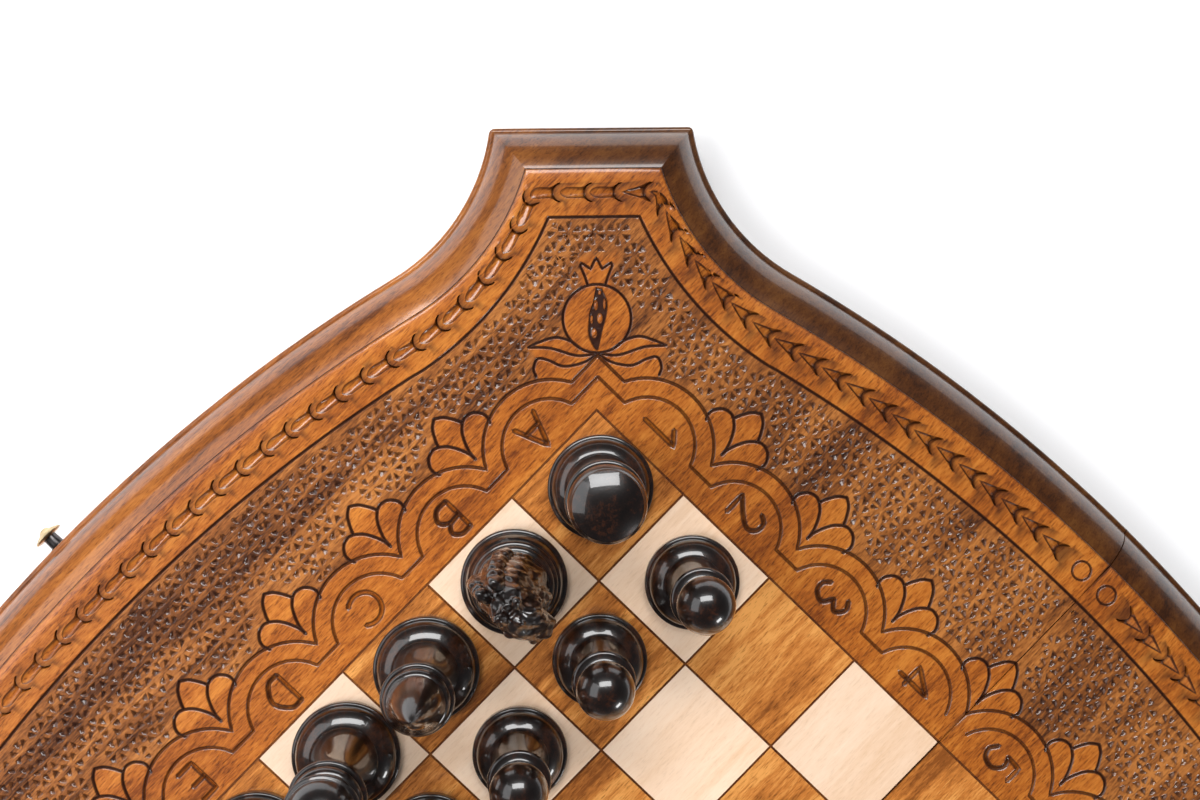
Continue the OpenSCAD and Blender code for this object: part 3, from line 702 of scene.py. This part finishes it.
# A chip of the ground: distance from its node and half width, at the surface and at its lip. Then the
# distances and heights of its floor, and for a chip that leans, how far its floor goes aside and how far
# one side of its outline moves along
CHIP_TOP = [(0.8, 0.0), (2.2, 0.75), (3.8, 1.4), (4.3, 0.0)]
CHIP_LIP = [(1.25, 0.0), (2.3, 0.5), (3.65, 1.1), (4.05, 0.0)]
CHIP_LOW = [(2.3, -0.65), (3.2, -1.15)]
LOW_ASIDE = [0.25, 0.5]
TOP_ASIDE = 0.12


def ground_nodes():
    """Nodes of the chips' lattices, with each one's direction. A side has its own, and so has a tab."""
    nodes = []
    for angle in (225, 315, 180, 270, 0):
        for row in range(int((SIDE_REACH - FIELD - OUT_V) / CHIP_ROW) + 1):
            reach = v = FIELD + OUT_V + 1 + row * CHIP_ROW
            if angle % 90:
                v = BORDER_TAB - TAB_ROW - row * CHIP_ROW
                reach = TAB_SLOPE * (v - TAB_TIP)
                if v < TAB_FROM:
                    break
            for k in range(-40, 41):
                u = (k + 0.5 * (row % 2)) * CHIP_PITCH
                if abs(u) > reach:
                    continue
                x, y = turn((v, u), angle)
                p = (x + random.gauss(0, NODE_SPREAD), y + random.gauss(0, NODE_SPREAD))
                others = [q for q, direction in nodes[-400:] if direction != angle]
                if p[1] < 3 and all(dist(p, q) > NODE_GAP for q in others):
                    nodes.append((p, angle))
    return nodes


def chips_near(node, angle):
    """Six chips round a node, each in three sizes: top, lip, floor, depth and which chip it is."""
    x, y = node
    found = []
    for k in range(6):
        direction = radians(angle + 60 * k + random.gauss(0, 5))
        wide = random.uniform(0.75, 1.08)
        deep = random.uniform(0.7, 1.05)
        lean = random.uniform(-0.35, 0.35)
        c, s = cos(direction), sin(direction)

        def placed(shape):
            return [(x + a * c - w * s, y + a * s + w * c) for a, w in shape]

        for share in (random.uniform(0.92, 1.05), 0.78, 0.6):
            outlines = []
            for line in (CHIP_TOP, CHIP_LIP):
                half = [(a * share, w * wide) for a, w in line]
                outlines.append(placed(half + [(a + TOP_ASIDE * lean, -w) for a, w in reversed(half[1:-1])]))
            low = placed([(a * share, w * lean) for (a, _), w in zip(CHIP_LOW, LOW_ASIDE)])
            found.append((*outlines, low, share * deep, (x, y, k)))
    return found


def add_ground(carving):
    """The ground's chips, the largest of each that fits between the lines."""
    candidates = [chip for node, angle in ground_nodes() for chip in chips_near(node, angle)]
    tops = np.array([c[0] for c in candidates]).reshape(-1, 2)
    clear = 0.9
    good = inside(tops, border(BORDER_INSET + clear, SEAM + 0.4))
    good &= carving.cut_shape(tops, margin=0.3)[0] >= 0
    for polygon in carving.plain:
        good &= ~inside(tops, polygon)
    good = good.reshape(len(candidates), -1).all(1)
    done = set()
    taken = {}
    cell = 2.5
    for (top, lip, low, deep, key), fits in zip(candidates, good):
        if not fits or key in done:
            continue
        done.add(key)
        place = low[1]
        i, j = (round(value / cell) for value in place)
        near = [q for m in (-1, 0, 1) for n in (-1, 0, 1) for q in taken.get((i + m, j + n), [])]
        if any(dist(q, place) < CHIP_GAP for q in near):
            continue
        taken.setdefault((i, j), []).append(place)
        # How dark the chip is, at its lip and in its pit: pooled stain and painted shade
        dark = random.uniform(0.6, 0.9)
        carving.line(top, closed=True)
        carving.line(lip, -0.08, closed=True, tones=dark - 0.2)
        carving.line(low, [height * deep for _, height in CHIP_LOW], tones=dark)


def carved_panel(name, shift, letters, numbers, reverse):
    """The carved panel of a half, drawn as half A. Lines that end at the fold run a little over it."""
    carving = Carving(shift)
    outer, inner = scallop_lines()
    end = FIELD + OUT_V
    over = 3.0
    for angle, lo, hi in ((180, 0, end), (270, -end, end), (0, -end, 0)):
        for line, tone in ((outer, 0.9), (inner, 0.8)):
            path = [p for p in line if lo - over <= p[0] <= hi + over]
            carving.stroke(on_side(angle, path), LINE_STROKE, tone - 0.25, tone)
        for u0 in [SQUARE * k for k in range(-3, 4) if lo <= SQUARE * k <= hi]:
            petals = flower_lines(u0)
            for line in petals:
                carving.stroke(on_side(angle, line), LINE_STROKE)
            ring = [(u0, OUT_V), *petals[5][::-1], *petals[4], *petals[1][::-1], *petals[2]]
            carving.keep_plain(on_side(angle, ring))
    frame = on_side(180, [p for p in outer if p[0] >= -over - 1]) + on_side(270, outer)
    carving.keep_plain(frame + on_side(0, [p for p in outer if p[0] <= over + 1]))
    for angle in (225, 315):
        add_fruit(carving, angle)
    carving.stroke([(x - shift, y) for x, y in border(BORDER_INSET, SEAM)], BORDER_STROKE)
    for k, text in enumerate(letters):
        add_glyph(carving, text, side_point(270, (k - 3.5) * SQUARE, GLYPH_V), 1)
    for k, text in enumerate(numbers):
        add_glyph(carving, text, side_point(180, (3.5 - k) * SQUARE, GLYPH_V), 1)
        add_glyph(carving, text, side_point(0, (k - 3.5) * SQUARE, GLYPH_V), -1)
    add_chain(carving, reverse)
    add_ground(carving)
    return carving.mesh(name, border(BORDER_INSET, SEAM))


# Materials
def set_inputs(tree, node, inputs):
    """Links the sockets among the inputs to the node, and sets the rest as plain values."""
    for key, value in inputs.items():
        if isinstance(value, bpy.types.NodeSocket):
            tree.links.new(value, node.inputs[key])
        else:
            node.inputs[key].default_value = value


def add_node(tree, kind, inputs=None, **settings):
    made = tree.nodes.new("ShaderNode" + kind)
    for key, value in settings.items():
        setattr(made, key, value)
    set_inputs(tree, made, inputs or {})
    return made


def object_coords(tree):
    return add_node(tree, "TexCoord").outputs["Object"]


def ramp(tree, factor, stops):
    made = add_node(tree, "ValToRGB", {"Fac": factor})
    elements = made.color_ramp.elements
    while len(elements) < len(stops):
        elements.new(0.5)
    for element, (at, colour) in zip(elements, stops):
        element.position = at
        element.color = (*colour, 1)
    return made.outputs["Color"]


def math_node(tree, operation, a, b, c=0.0):
    return add_node(tree, "Math", {0: a, 1: b, 2: c}, operation=operation).outputs[0]


def vector_node(tree, operation, a, b):
    return add_node(tree, "VectorMath", {0: a, 1: b}, operation=operation).outputs[0]


def scaled_colour(tree, colour, scale):
    return add_node(tree, "VectorMath", {0: colour, "Scale": scale}, operation="SCALE").outputs[0]


def mix_node(tree, share, a, b):
    a, b = (value if isinstance(value, bpy.types.NodeSocket) else (*value, 1) for value in (a, b))
    return add_node(tree, "Mix", {0: share, 6: a, 7: b}, data_type="RGBA").outputs[2]


def map_range(tree, value, start, end, low, high):
    inputs = {"Value": value, "From Min": start, "From Max": end, "To Min": low, "To Max": high}
    return add_node(tree, "MapRange", inputs).outputs[0]


def noise(tree, coords, scale, detail, rough, distortion=0.0):
    stretched = vector_node(tree, "MULTIPLY", coords, scale)
    inputs = {"Vector": stretched, "Scale": 1.0, "Detail": detail, "Roughness": rough}
    return add_node(tree, "TexNoise", {**inputs, "Distortion": distortion}).outputs["Fac"]


def bump(tree, height, strength, distance):
    inputs = {"Height": height, "Strength": strength, "Distance": distance}
    return add_node(tree, "Bump", inputs).outputs[0]


def new_material(name):
    made = bpy.data.materials.new(name)
    made.use_nodes = True
    return made, made.node_tree, made.node_tree.nodes["Principled BSDF"]


# Painted shade, and on the carved panels partly a deeper stain: the wood darkens from one side of the
# corners to the other, away from the window and fill lamps. Where that starts and ends, in metres
STAIN_AND_SHADE_FROM = -0.06
STAIN_AND_SHADE_TO = 0.005
# The near-black that the cuts darken towards: darker stain pooled in them, and painted shade on their walls
# and floors
CUT_STAIN_AND_SHADE_COLOUR = (0.022, 0.007, 0.005)


def wood(
    name, colours, grain, figure=1.0, per_square=False, cuts=None, surface=(0.4, 0.5, 0.1), pores=0.35,
    flecks=0.8, mirror=0.5, shaded=0.0,
):
    """Lacquered wood. Colours run from its dark to its light stripes, and grain is the axis they follow.
    Cuts are the colours outside the carved ground, and with them the cut attribute darkens the wood: pooled
    stain and painted shade in the carving's cuts. Shaded is how much it darkens towards one side, painted
    shade, and surface is roughness, coat and coat roughness."""
    material, tree, shader = new_material(name)
    coords = object_coords(tree)
    if per_square:
        count = 1 / (SQUARE * MM)
        cell = vector_node(tree, "MULTIPLY", coords, (count, count, 0.0))
        cell = vector_node(tree, "FLOOR", cell, (0.0, 0.0, 0.0))
        square = add_node(tree, "TexWhiteNoise", {"Vector": cell}).outputs
        offset = vector_node(tree, "MULTIPLY", square["Color"], (3.0, 3.0, 3.0))
        coords = vector_node(tree, "ADD", coords, offset)

    def pattern(along, across, *settings):
        return noise(tree, coords, tuple(along if axis == grain else across for axis in "XYZ"), *settings)

    def striped(dark, mid, light):
        return ramp(tree, mixed, [(0.3, dark), (0.5, mid), (0.7, light)])

    broad = pattern(7.0, 60.0, 3.0, 0.5, 0.8)
    fine = pattern(60.0, 480.0, 4.0, 0.65, 0.4)
    pore = pattern(330.0, 1900.0, 3.0, 0.6)
    weights = [(broad, 0.75 * figure), (fine, 0.6 * figure), (pore, 0.5 * flecks)]
    mixed = 0.5 - sum(weight for _, weight in weights) / 2
    for layer, weight in weights:
        mixed = math_node(tree, "MULTIPLY_ADD", layer, weight, mixed)
    colour = striped(*colours)
    if cuts:
        bright = add_node(tree, "Attribute", attribute_name="bright").outputs["Fac"]
        colour = mix_node(tree, bright, colour, striped(*cuts))
    holes = ramp(tree, pore, [(0.34, (1, 1, 1)), (0.43, (0, 0, 0))])
    hole_colour = tuple(0.3 * c for c in colours[0])
    colour = mix_node(tree, math_node(tree, "MULTIPLY", holes, pores), colour, hole_colour)
    if per_square:
        tone = math_node(tree, "MULTIPLY_ADD", square["Value"], 0.16, 0.92)
        colour = scaled_colour(tree, colour, tone)
    # Darkening in the carving's cuts: pooled stain, and painted shade on their walls and floors
    if cuts:
        cut = add_node(tree, "Attribute", attribute_name="cut").outputs["Fac"]
        colour = mix_node(tree, math_node(tree, "MULTIPLY", cut, 0.96), colour, CUT_STAIN_AND_SHADE_COLOUR)
    # Painted shade, partly a deeper stain on the carved panels: darker by the share shaded towards one side
    if shaded:
        way = {0: coords, 1: (-0.707, 0.707, 0)}
        side = add_node(tree, "VectorMath", way, operation="DOT_PRODUCT").outputs["Value"]
        share = map_range(tree, side, STAIN_AND_SHADE_FROM, STAIN_AND_SHADE_TO, 1.0, 1.0 - shaded)
        colour = scaled_colour(tree, colour, share)
    height = math_node(tree, "MULTIPLY_ADD", fine, 0.5, math_node(tree, "MULTIPLY", pore, 0.4))
    roughness, coat, coat_roughness = surface
    set_inputs(tree, shader, {
        "Base Color": colour, "Normal": bump(tree, height, 0.24, 0.0002), "Roughness": roughness,
        "Coat Weight": coat, "Coat Roughness": coat_roughness, "Coat IOR": 1.6, "Specular IOR Level": mirror,
    })
    return material


def metal(name, colour, roughness):
    material, tree, shader = new_material(name)
    worn = noise(tree, object_coords(tree), (300.0, 300.0, 300.0), 4.0, 0.6)
    shade = ramp(tree, worn, [(0.35, tuple(0.45 * c for c in colour)), (0.6, colour)])
    normal = bump(tree, worn, 0.15, 0.0001)
    inputs = {"Base Color": shade, "Normal": normal, "Metallic": 1.0, "Roughness": roughness}
    set_inputs(tree, shader, inputs)
    return material


# Turned pieces
def bead(r, z, h, steps=8):
    """Half-round edge of a disc: radius r, from height z, h thick."""
    return arc((r - h / 2, z + h / 2), h / 2, -90, 90, steps)


def hollow(r1, z1, r2, z2, sag, steps=16):
    """A stem's hollow outline from (r1, z1) to (r2, z2), set in by sag halfway."""
    chord = dist((r1, z1), (r2, z2))
    nx, nz = (z2 - z1) / chord, (r1 - r2) / chord
    out = []
    for i in range(steps + 1):
        t = i / steps
        inward = 4 * sag * t * (1 - t)
        out.append((r1 + (r2 - r1) * t - nx * inward, z1 + (z2 - z1) * t - nz * inward))
    return out


def foot_profile(base_r, collar_r, collar_z, sag, swell=0.52):
    """A flange with a fine line, a round shoulder, and a hollow stem up to the collar."""
    flange = [(0.7, 0.0), (0.2, 0.3), (0, 0.9), (0, 3.1), (0.15, 3.55), (0.5, 3.8), (1.25, 3.85), (1.35, 4.3)]
    profile = [(0.0, 0.0)] + [(base_r - inward, z) for inward, z in flange]
    wide = swell * base_r
    middle = base_r - 1.35 - wide
    profile += [(middle + wide * c, 4.3 + 5.6 * s) for c, s in arc((0, 0), 1, 3, 63, 20)]
    shoulder_r, shoulder_z = profile[-1]
    profile += [(shoulder_r - 0.45, shoulder_z + 0.05), (shoulder_r - 0.7, shoulder_z + 0.4)]
    profile += hollow(shoulder_r - 0.9, shoulder_z + 1.0, collar_r - 4, collar_z - 0.6, sag)
    profile += [(collar_r - 3.2, collar_z - 0.3)]
    return profile + bead(collar_r, collar_z, 2.2)


def pawn_profile():
    h, ball_r = 55.5, 9.0
    collar_z = h - 2 * ball_r - 3.4
    profile = foot_profile(15.7, 10, collar_z, 1.2)
    profile += hollow(7.6, collar_z + 2.3, 5.6, collar_z + 5.4, 0.5, 5)
    return profile + arc((0, h - ball_r), ball_r, -48, 90, 24)


def rook_profile():
    h, cap_r, cap_h, dome_r = 59.0, 12.0, 14.4, 22.0
    collar_z = h - cap_h - 4.6
    profile = foot_profile(17.4, 12.6, collar_z, 1.4, 0.43)
    profile += hollow(9.4, collar_z + 2.4, 9.4, collar_z + 4.4, 0.8, 5)
    profile += arc((cap_r - cap_h / 2, h - cap_h / 2), cap_h / 2, -72, 34, 20)
    return profile + arc((0, h - dome_r), dome_r, 61, 90, 12)


def bishop_profile():
    h = 73.5
    collar_z = h - 29
    profile = foot_profile(17.5, 11.4, collar_z, 1.8)
    profile += bead(10.2, collar_z + 2.3, 4.8, 12)
    profile += [(8.8, collar_z + 7.1), (8.9, collar_z + 7.6)]
    return profile + [(0.5, h - 0.3), (0.0, h)]


def queen_profile():
    h, ball_r = 82.0, 3.6
    collar_z = h - 31
    profile = foot_profile(17.9, 12, collar_z, 2)
    profile += bead(11, collar_z + 2.3, 5.0, 12)
    profile += hollow(7.6, collar_z + 7.3, 10.2, collar_z + 13.8, 1, 10)
    profile += bead(11.6, collar_z + 14, 2)
    profile += arc((0, collar_z + 14), 10.6, 12, 74, 14)
    return profile + arc((0, h - ball_r), ball_r, -50, 90, 14)


def king_profile():
    h = 92.0
    collar_z = h - 38
    profile = foot_profile(17.9, 12.2, collar_z, 2.2)
    profile += bead(11.2, collar_z + 2.3, 5.0, 12)
    profile += hollow(7.8, collar_z + 7.3, 11, collar_z + 15.8, 1.2, 10)
    profile += bead(12.2, collar_z + 16, 2.4)
    profile += arc((0, collar_z + 13), 11.6, 28, 76, 14)
    profile += bead(4.4, h - 14, 2)
    profile += [(2.4, h - 11.8), (4.6, h - 5)]
    return profile + hollow(4.5, h - 4.8, 0.8, h, 0.4, 5) + [(0.0, h)]


def ring_faces(rings):
    """Faces from each ring of vertex numbers to the next, where a ring may be one point repeated."""
    faces = []
    for low, high in zip(rings, rings[1:]):
        corners = zip(low, low[1:] + low[:1], high[1:] + high[:1], high)
        faces += [tuple(dict.fromkeys(face)) for face in corners]
    return faces


def lathe(name, profile, steps=96):
    """A solid turned round Z from a profile of (radius, height) that starts and ends on the axis."""
    verts = []
    rings = []
    last = (-1, 0)
    for r, z in profile:
        if dist((r, z), last) > 0.02:
            last = (r, z)
            ring = [(r * c, r * s, z) for c, s in arc((0, 0), 1, 0, 360, steps)[:-1]]
            ring = ring if r > 0.01 else [(0, 0, z)]
            rings.append([len(verts) + i % len(ring) for i in range(steps)])
            verts += ring
    return new_mesh(name, verts, ring_faces(rings), 40)


def tube(rings, steps=20):
    """A closed skin round elliptical rings: (y, z, lean in degrees, half width, half depth)."""
    verts = []
    for y, z, lean, wide, deep in rings:
        along, rise = turn((1, 0), lean)
        for a, b in arc((0, 0), 1, 0, 360, steps)[:-1]:
            verts.append((wide * a, y + deep * b * along, z + deep * b * rise))
    numbers = [list(range(k * steps, (k + 1) * steps)) for k in range(len(rings))]
    return verts, [*ring_faces(numbers), tuple(reversed(numbers[0])), tuple(numbers[-1])]


def lump(centre, size, lean=0.0):
    """An ellipsoid, leaning about X."""
    ball = bmesh.new()
    bmesh.ops.create_icosphere(ball, subdivisions=3, radius=1)
    turned = Matrix.Rotation(radians(lean), 3, "X")
    verts = [tuple(turned @ Vector([a * b for a, b in zip(v.co, size)]) + Vector(centre)) for v in ball.verts]
    faces = [tuple(v.index for v in f.verts) for f in ball.faces]
    ball.free()
    return verts, faces


def knight_parts():
    """Tubes and lumps of a horse's neck and head, with the muzzle towards +Y."""
    neck = [
        (-0.5, 12.5, 0, 11.4, 11.4), (-0.8, 17, 4, 11.0, 11.6), (-1.4, 24, 6, 10.2, 11.2),
        (-2.2, 32, 4, 9.2, 10.6), (-2.4, 40, -4, 8.2, 10.0), (-1.8, 48, -16, 7.4, 8.8),
        (-0.4, 54, -30, 6.2, 6.8), (0.4, 58, -36, 4.4, 4.2),
    ]
    head = [
        (-1.0, 57.0, 62, 4.4, 3.6), (1.6, 54.6, 54, 6.4, 5.6), (4.6, 51.0, 50, 6.8, 6.2),
        (7.6, 47.4, 48, 6.0, 5.2), (10.4, 44.2, 48, 5.0, 4.3), (12.6, 41.8, 50, 4.4, 3.6),
        (13.6, 40.6, 50, 3.2, 2.5),
    ]
    parts = [tube(neck), tube(head)]
    parts.append(lump((0, 3.2, 47.0), (7.2, 5.6, 5.8)))
    parts.append(lump((0, 6.0, 27.0), (8.6, 5.6, 12.0), 8))
    for side in (-1, 1):
        parts.append(lump((side * 3.3, -1.2, 59.6), (1.8, 2.2, 4.2), 12))
        parts.append(lump((side * 6.0, 4.4, 52.6), (1.4, 2.2, 1.5), -45))
        parts.append(lump((side * 3.7, 12.4, 42.6), (1.3, 1.5, 1.0), -45))
        for k in range(7):
            t = k / 6
            y = -6.8 - 4.2 * sin(pi * (0.2 + 0.55 * t))
            z = 56 - 34 * t
            parts.append(lump((side * (2.6 + 3.2 * t), y, z), (2.3 + 1.0 * t, 2.7, 4.6), 24 + 6 * side))
    parts.append(lump((0, 2.6, 58.4), (1.8, 2.2, 3.2), -30))
    return parts


def joined_mesh(name, parts):
    """The parts grown together under one skin."""
    verts = []
    faces = []
    for part_verts, part_faces in parts:
        faces += [tuple(i + len(verts) for i in f) for f in part_faces]
        verts += part_verts
    rough = link_object(name, new_mesh(name, verts, faces))
    skin = rough.modifiers.new("join", "REMESH")
    skin.mode = "VOXEL"
    skin.voxel_size = 0.42 * MM
    smooth = rough.modifiers.new("soften", "SMOOTH")
    smooth.iterations = 3
    smooth.factor = 0.5
    bpy.context.view_layer.update()
    joined = bpy.data.meshes.new_from_object(rough.evaluated_get(bpy.context.evaluated_depsgraph_get()))
    bpy.data.objects.remove(rough)
    return joined


def knight_mesh(name):
    """A roughly carved horse's head on a turned foot."""
    head = joined_mesh(name + "_rough", knight_parts())
    chisel(head)
    made = bmesh.new()
    made.from_mesh(head)
    made.from_mesh(lathe(name + "_foot", knight_foot_profile()))
    result = bpy.data.meshes.new(name)
    made.to_mesh(result)
    made.free()
    result.shade_smooth()
    result.set_sharp_from_angle(angle=radians(40))
    return result


def chisel(mesh):
    """Shallow knife strokes across the horse's head and neck."""
    count = len(mesh.vertices)
    places = np.empty(count * 3)
    mesh.vertices.foreach_get("co", places)
    places = places.reshape(-1, 3) / MM
    normals = np.array([v.normal for v in mesh.vertices])
    x, y, z = places.T
    waves = np.sin(1.15 * z + 1.9 * np.sin(0.35 * y) + 0.6 * x) * np.cos(0.8 * y - 0.5 * z)
    back = np.clip((-y - 2) / 6, 0, 1)
    strands = np.sin(2.1 * x + 0.9 * z + 1.2 * np.sin(0.4 * z))
    facets = np.sin(0.5 * x + 0.62 * y + 0.3 * z + 1.2 * np.sin(0.4 * x - 0.3 * z))
    facets *= np.cos(0.45 * z - 0.5 * x)
    move = (0.1 * waves + 0.75 * facets) * (1 - 0.6 * back) + 0.15 * strands * back
    places += normals * move[:, None]
    mesh.vertices.foreach_set("co", (places * MM).ravel())
    mesh.update()


def knight_foot_profile():
    r = 17.6
    flange = [(0.7, 0.0), (0, 0.9), (0, 3.1), (0.15, 3.55), (0.5, 3.85), (1.3, 3.9), (1.4, 4.5), (2.4, 6.6)]
    profile = [(0.0, 0.0)] + [(r - inward, z) for inward, z in flange]
    profile += bead(r - 3.2, 6.7, 2.6) + [(r - 4.4, 9.4)]
    return profile + bead(r - 4.5, 9.5, 3.0) + [(11.6, 12.7), (11.2, 15.2), (0.0, 15.2)]


def peg_profile():
    """The latch peg from its end in the wall to the middle of its head."""
    shank = [(0.0, 0.0), (2.45, 0.0), (2.45, 11.0), (2.9, 11.0), (2.9, 11.8), (2.45, 12.1), (2.3, 15.6)]
    head = [(4.7, 15.8), (5.05, 16.0), (5.1, 16.3), (4.8, 16.7), (4.1, 16.9), (3.9, 17.2), (3.0, 17.5)]
    return shank + head + arc((0, 16.5), 2.6, 35, 90, 6)


random.seed(7)
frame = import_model()
nodes = frame["nodes"]

# Woods and metals, from the dark to the light stripes of each
# The carved panels darken a little towards one side: painted shade, and partly a deeper stain
stained = wood(
    "stained_wood", [(0.075, 0.023, 0.008), (0.29, 0.092, 0.018), (0.53, 0.195, 0.043)], "X",
    cuts=[(0.21, 0.049, 0.006), (0.45, 0.125, 0.013), (0.62, 0.215, 0.03)],
    surface=(0.42, 0.8, 0.13), flecks=1.3, mirror=0.2, shaded=0.15,
)
# The moulding darkens strongly towards one side: painted shade, for its faces there turn from the lamps
moulded = wood(
    "moulded_wood", [(0.11, 0.03, 0.006), (0.3, 0.09, 0.014), (0.47, 0.165, 0.03)], "X",
    surface=(0.34, 0.75, 0.1), mirror=0.3, shaded=0.74,
)
honey = wood(
    "honey_square_wood", [(0.24, 0.07, 0.011), (0.53, 0.18, 0.032), (0.76, 0.34, 0.085)], "X",
    figure=1.3, per_square=True, surface=(0.42, 0.5, 0.12), mirror=0.2,
)
pale = wood(
    "pale_square_wood", [(0.78, 0.52, 0.33), (0.86, 0.62, 0.44), (0.9, 0.69, 0.52)], "X",
    figure=0.8, per_square=True, surface=(0.45, 0.4, 0.14), pores=0.08, flecks=0.5,
)
dark_piece = wood(
    "dark_piece_wood", [(0.003, 0.0015, 0.001), (0.007, 0.003, 0.002), (0.045, 0.013, 0.004)], "Z",
    figure=1.2, surface=(0.3, 1.0, 0.03), pores=0.3,
)
pale_piece = wood(
    "pale_piece_wood", [(0.46, 0.27, 0.12), (0.6, 0.38, 0.18), (0.7, 0.48, 0.26)], "Z",
    figure=0.9, surface=(0.3, 1.0, 0.04), pores=0.15,
)
foot_wood = wood("foot_wood", [(0.03, 0.014, 0.008), (0.07, 0.03, 0.015), (0.12, 0.05, 0.025)], "Z")
brass = metal("hinge_brass", (0.86, 0.66, 0.38), 0.28)
gunmetal = metal("dark_metal", (0.16, 0.15, 0.15), 0.35)

# How the names of the nodes start that take each material
node_materials = [
    ("light_squares", pale), ("dark_squares", honey), ("feet", foot_wood), ("hinge_", brass),
    (("front_rail", "left_rail", "right_rail", "spine_rail", "corner"), moulded),
    (("latch_hook", "hook_screw"), gunmetal),
]
for name, made in nodes.items():
    for starts, material in node_materials:
        if name.startswith(starts):
            made.data.materials.clear()
            made.data.materials.append(material)
            made.data.polygons.foreach_set("material_index", [0] * len(made.data.polygons))

# Carved panels
panel = carved_panel("carving_a", PATTERN_SHIFT, "ABCDEFGH", "1234", True)
carving_a = new_object("carving_a", panel, stained)
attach(carving_a, "half_a")
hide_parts("carved_panel_a")
panel = carved_panel("carving_b", -PATTERN_SHIFT, "HGFEDCBA", "8765", False)
panel.transform(Matrix.Rotation(pi, 4, "Z"))
carving_b = new_object("carving_b", panel, stained)
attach(carving_b, "half_b")
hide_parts("carved_panel_b")

# Chess pieces
profiles = {
    "pawn": pawn_profile(), "rook": rook_profile(), "bishop": bishop_profile(), "queen": queen_profile(),
    "king": king_profile(),
}
piece_meshes = {}
for name in [n for n in nodes if n.startswith(("dark_", "light_")) and "squares" not in n]:
    tone, kind = name.split("_")[:2]
    if kind not in piece_meshes:
        turned_mesh = knight_mesh("knight") if kind == "knight" else lathe(kind, profiles[kind])
        piece_meshes[kind] = {"dark": turned_mesh, "light": turned_mesh.copy()}
    low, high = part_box(name)
    middle = [(low[i] + high[i]) / 2 / MM for i in (0, 1)]
    material = dark_piece if tone == "dark" else pale_piece
    turned = 0 if tone == "dark" else 180
    made = new_object(name + "_turned", piece_meshes[kind][tone], material, (*middle, BOARD_Z), turned)
    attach(made, name)
    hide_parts(name)

# The peg that the hook closes on: its place in metres, and where its brass head starts
PEG_PLACE = (0, -0.246, 0.0145)
HEAD_FROM = 15.5 * MM
peg = lathe("peg_turning", peg_profile(), 48)
peg.materials.append(gunmetal)
peg.materials.append(brass)
for face in peg.polygons:
    face.material_index = 1 if face.center[2] > HEAD_FROM else 0
peg.transform(Matrix.Translation(PEG_PLACE) @ Matrix.Rotation(pi / 2, 4, "X"))
peg_object = new_object("peg_turned", peg, None)
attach(peg_object, "half_a")
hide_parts("latch_peg")

# Floor. Only the camera sees its own light, which is faint near the board and plain white further out
SHADOW_REACH = 0.42
WHITE_FROM = 0.7
bpy.ops.mesh.primitive_plane_add(size=8, location=(0, 0, 0))
floor = bpy.context.object
floor.name = "floor"
white, tree, shader = new_material("floor_white")
seen = add_node(tree, "LightPath").outputs["Is Camera Ray"]
away = add_node(tree, "VectorMath", {0: object_coords(tree)}, operation="LENGTH").outputs["Value"]
glow = map_range(tree, away, SHADOW_REACH, WHITE_FROM, 0.14, 1.0)
set_inputs(tree, shader, {
    "Base Color": (0.92, 0.92, 0.93, 1), "Roughness": 0.9, "Specular IOR Level": 0.1,
    "Emission Color": (1, 1, 1, 1), "Emission Strength": math_node(tree, "MULTIPLY", seen, glow),
})
floor.data.materials.append(white)

# World: soft pale light, darker overhead for the lacquer to mirror, white where the camera sees it
world = bpy.data.worlds.new("studio")
bpy.context.scene.world = world
world.use_nodes = True
tree = world.node_tree
rays = add_node(tree, "LightPath").outputs
direction = add_node(tree, "TexCoord").outputs["Generated"]
up = add_node(tree, "SeparateXYZ", {0: direction}).outputs["Z"]
overhead = [(0.0, (0.14, 0.14, 0.14)), (0.3, (0.08, 0.08, 0.085)), (0.75, (0.05, 0.05, 0.055))]
plain = mix_node(tree, rays["Is Glossy Ray"], (0.24, 0.243, 0.25), ramp(tree, up, overhead))
shown = mix_node(tree, rays["Is Camera Ray"], plain, (1, 1, 1))
tree.links.new(shown, tree.nodes["Background"].inputs["Color"])


def softbox(name, right, up, elevation, size, radiance, colour=(1, 1, 1)):
    """A lamp as wide and high as size, towards the given way in the picture."""
    lamp = bpy.data.lights.new(name, "AREA")
    lamp.shape = "RECTANGLE"
    lamp.size, lamp.size_y = size
    lamp.energy = radiance * pi * size[0] * size[1]
    lamp.color = colour
    made = link_object(name, lamp)
    level, rise = turn((1, 0), elevation)
    flat = Vector((-right - up, right - up)).normalized() * level
    away = Vector((*flat, rise))
    made.location = Vector(LAMP_AIM) + LAMP_DISTANCE * away
    made.rotation_euler = away.to_track_quat("Z", "Y").to_euler()
    return made


# Picture up is (-1, -1) over the board and picture right is (-1, 1)
LAMP_AIM = (-0.15, -0.15, 0.04)
LAMP_DISTANCE = 1.4
softbox("key", -0.08, 1, 54, (1.15, 0.49), 8)
softbox("low", 0.7, -0.8, 22, (0.4, 0.24), 11)
softbox("window", -1, 0.2, 42, (1.2, 0.8), 1.5, (0.97, 0.98, 1.0))
softbox("fill", -0.8, -0.2, 52, (1, 1), 4.4).visible_glossy = False

# Camera, fitted to the photograph
CAMERA_PLACE = (-0.16697, -0.19585, 0.57356)
CAMERA_TURN = (-2.8408, -2.335, 134.2273)
camera = bpy.data.cameras.new("camera")
camera.sensor_width = 36
camera.lens = 49.2
camera.clip_start = 0.01
camera_object = link_object("camera", camera)
camera_object.location = CAMERA_PLACE
camera_object.rotation_euler = [radians(value) for value in CAMERA_TURN]
bpy.context.scene.camera = camera_object
bpy.context.scene.view_settings.view_transform = "Standard"
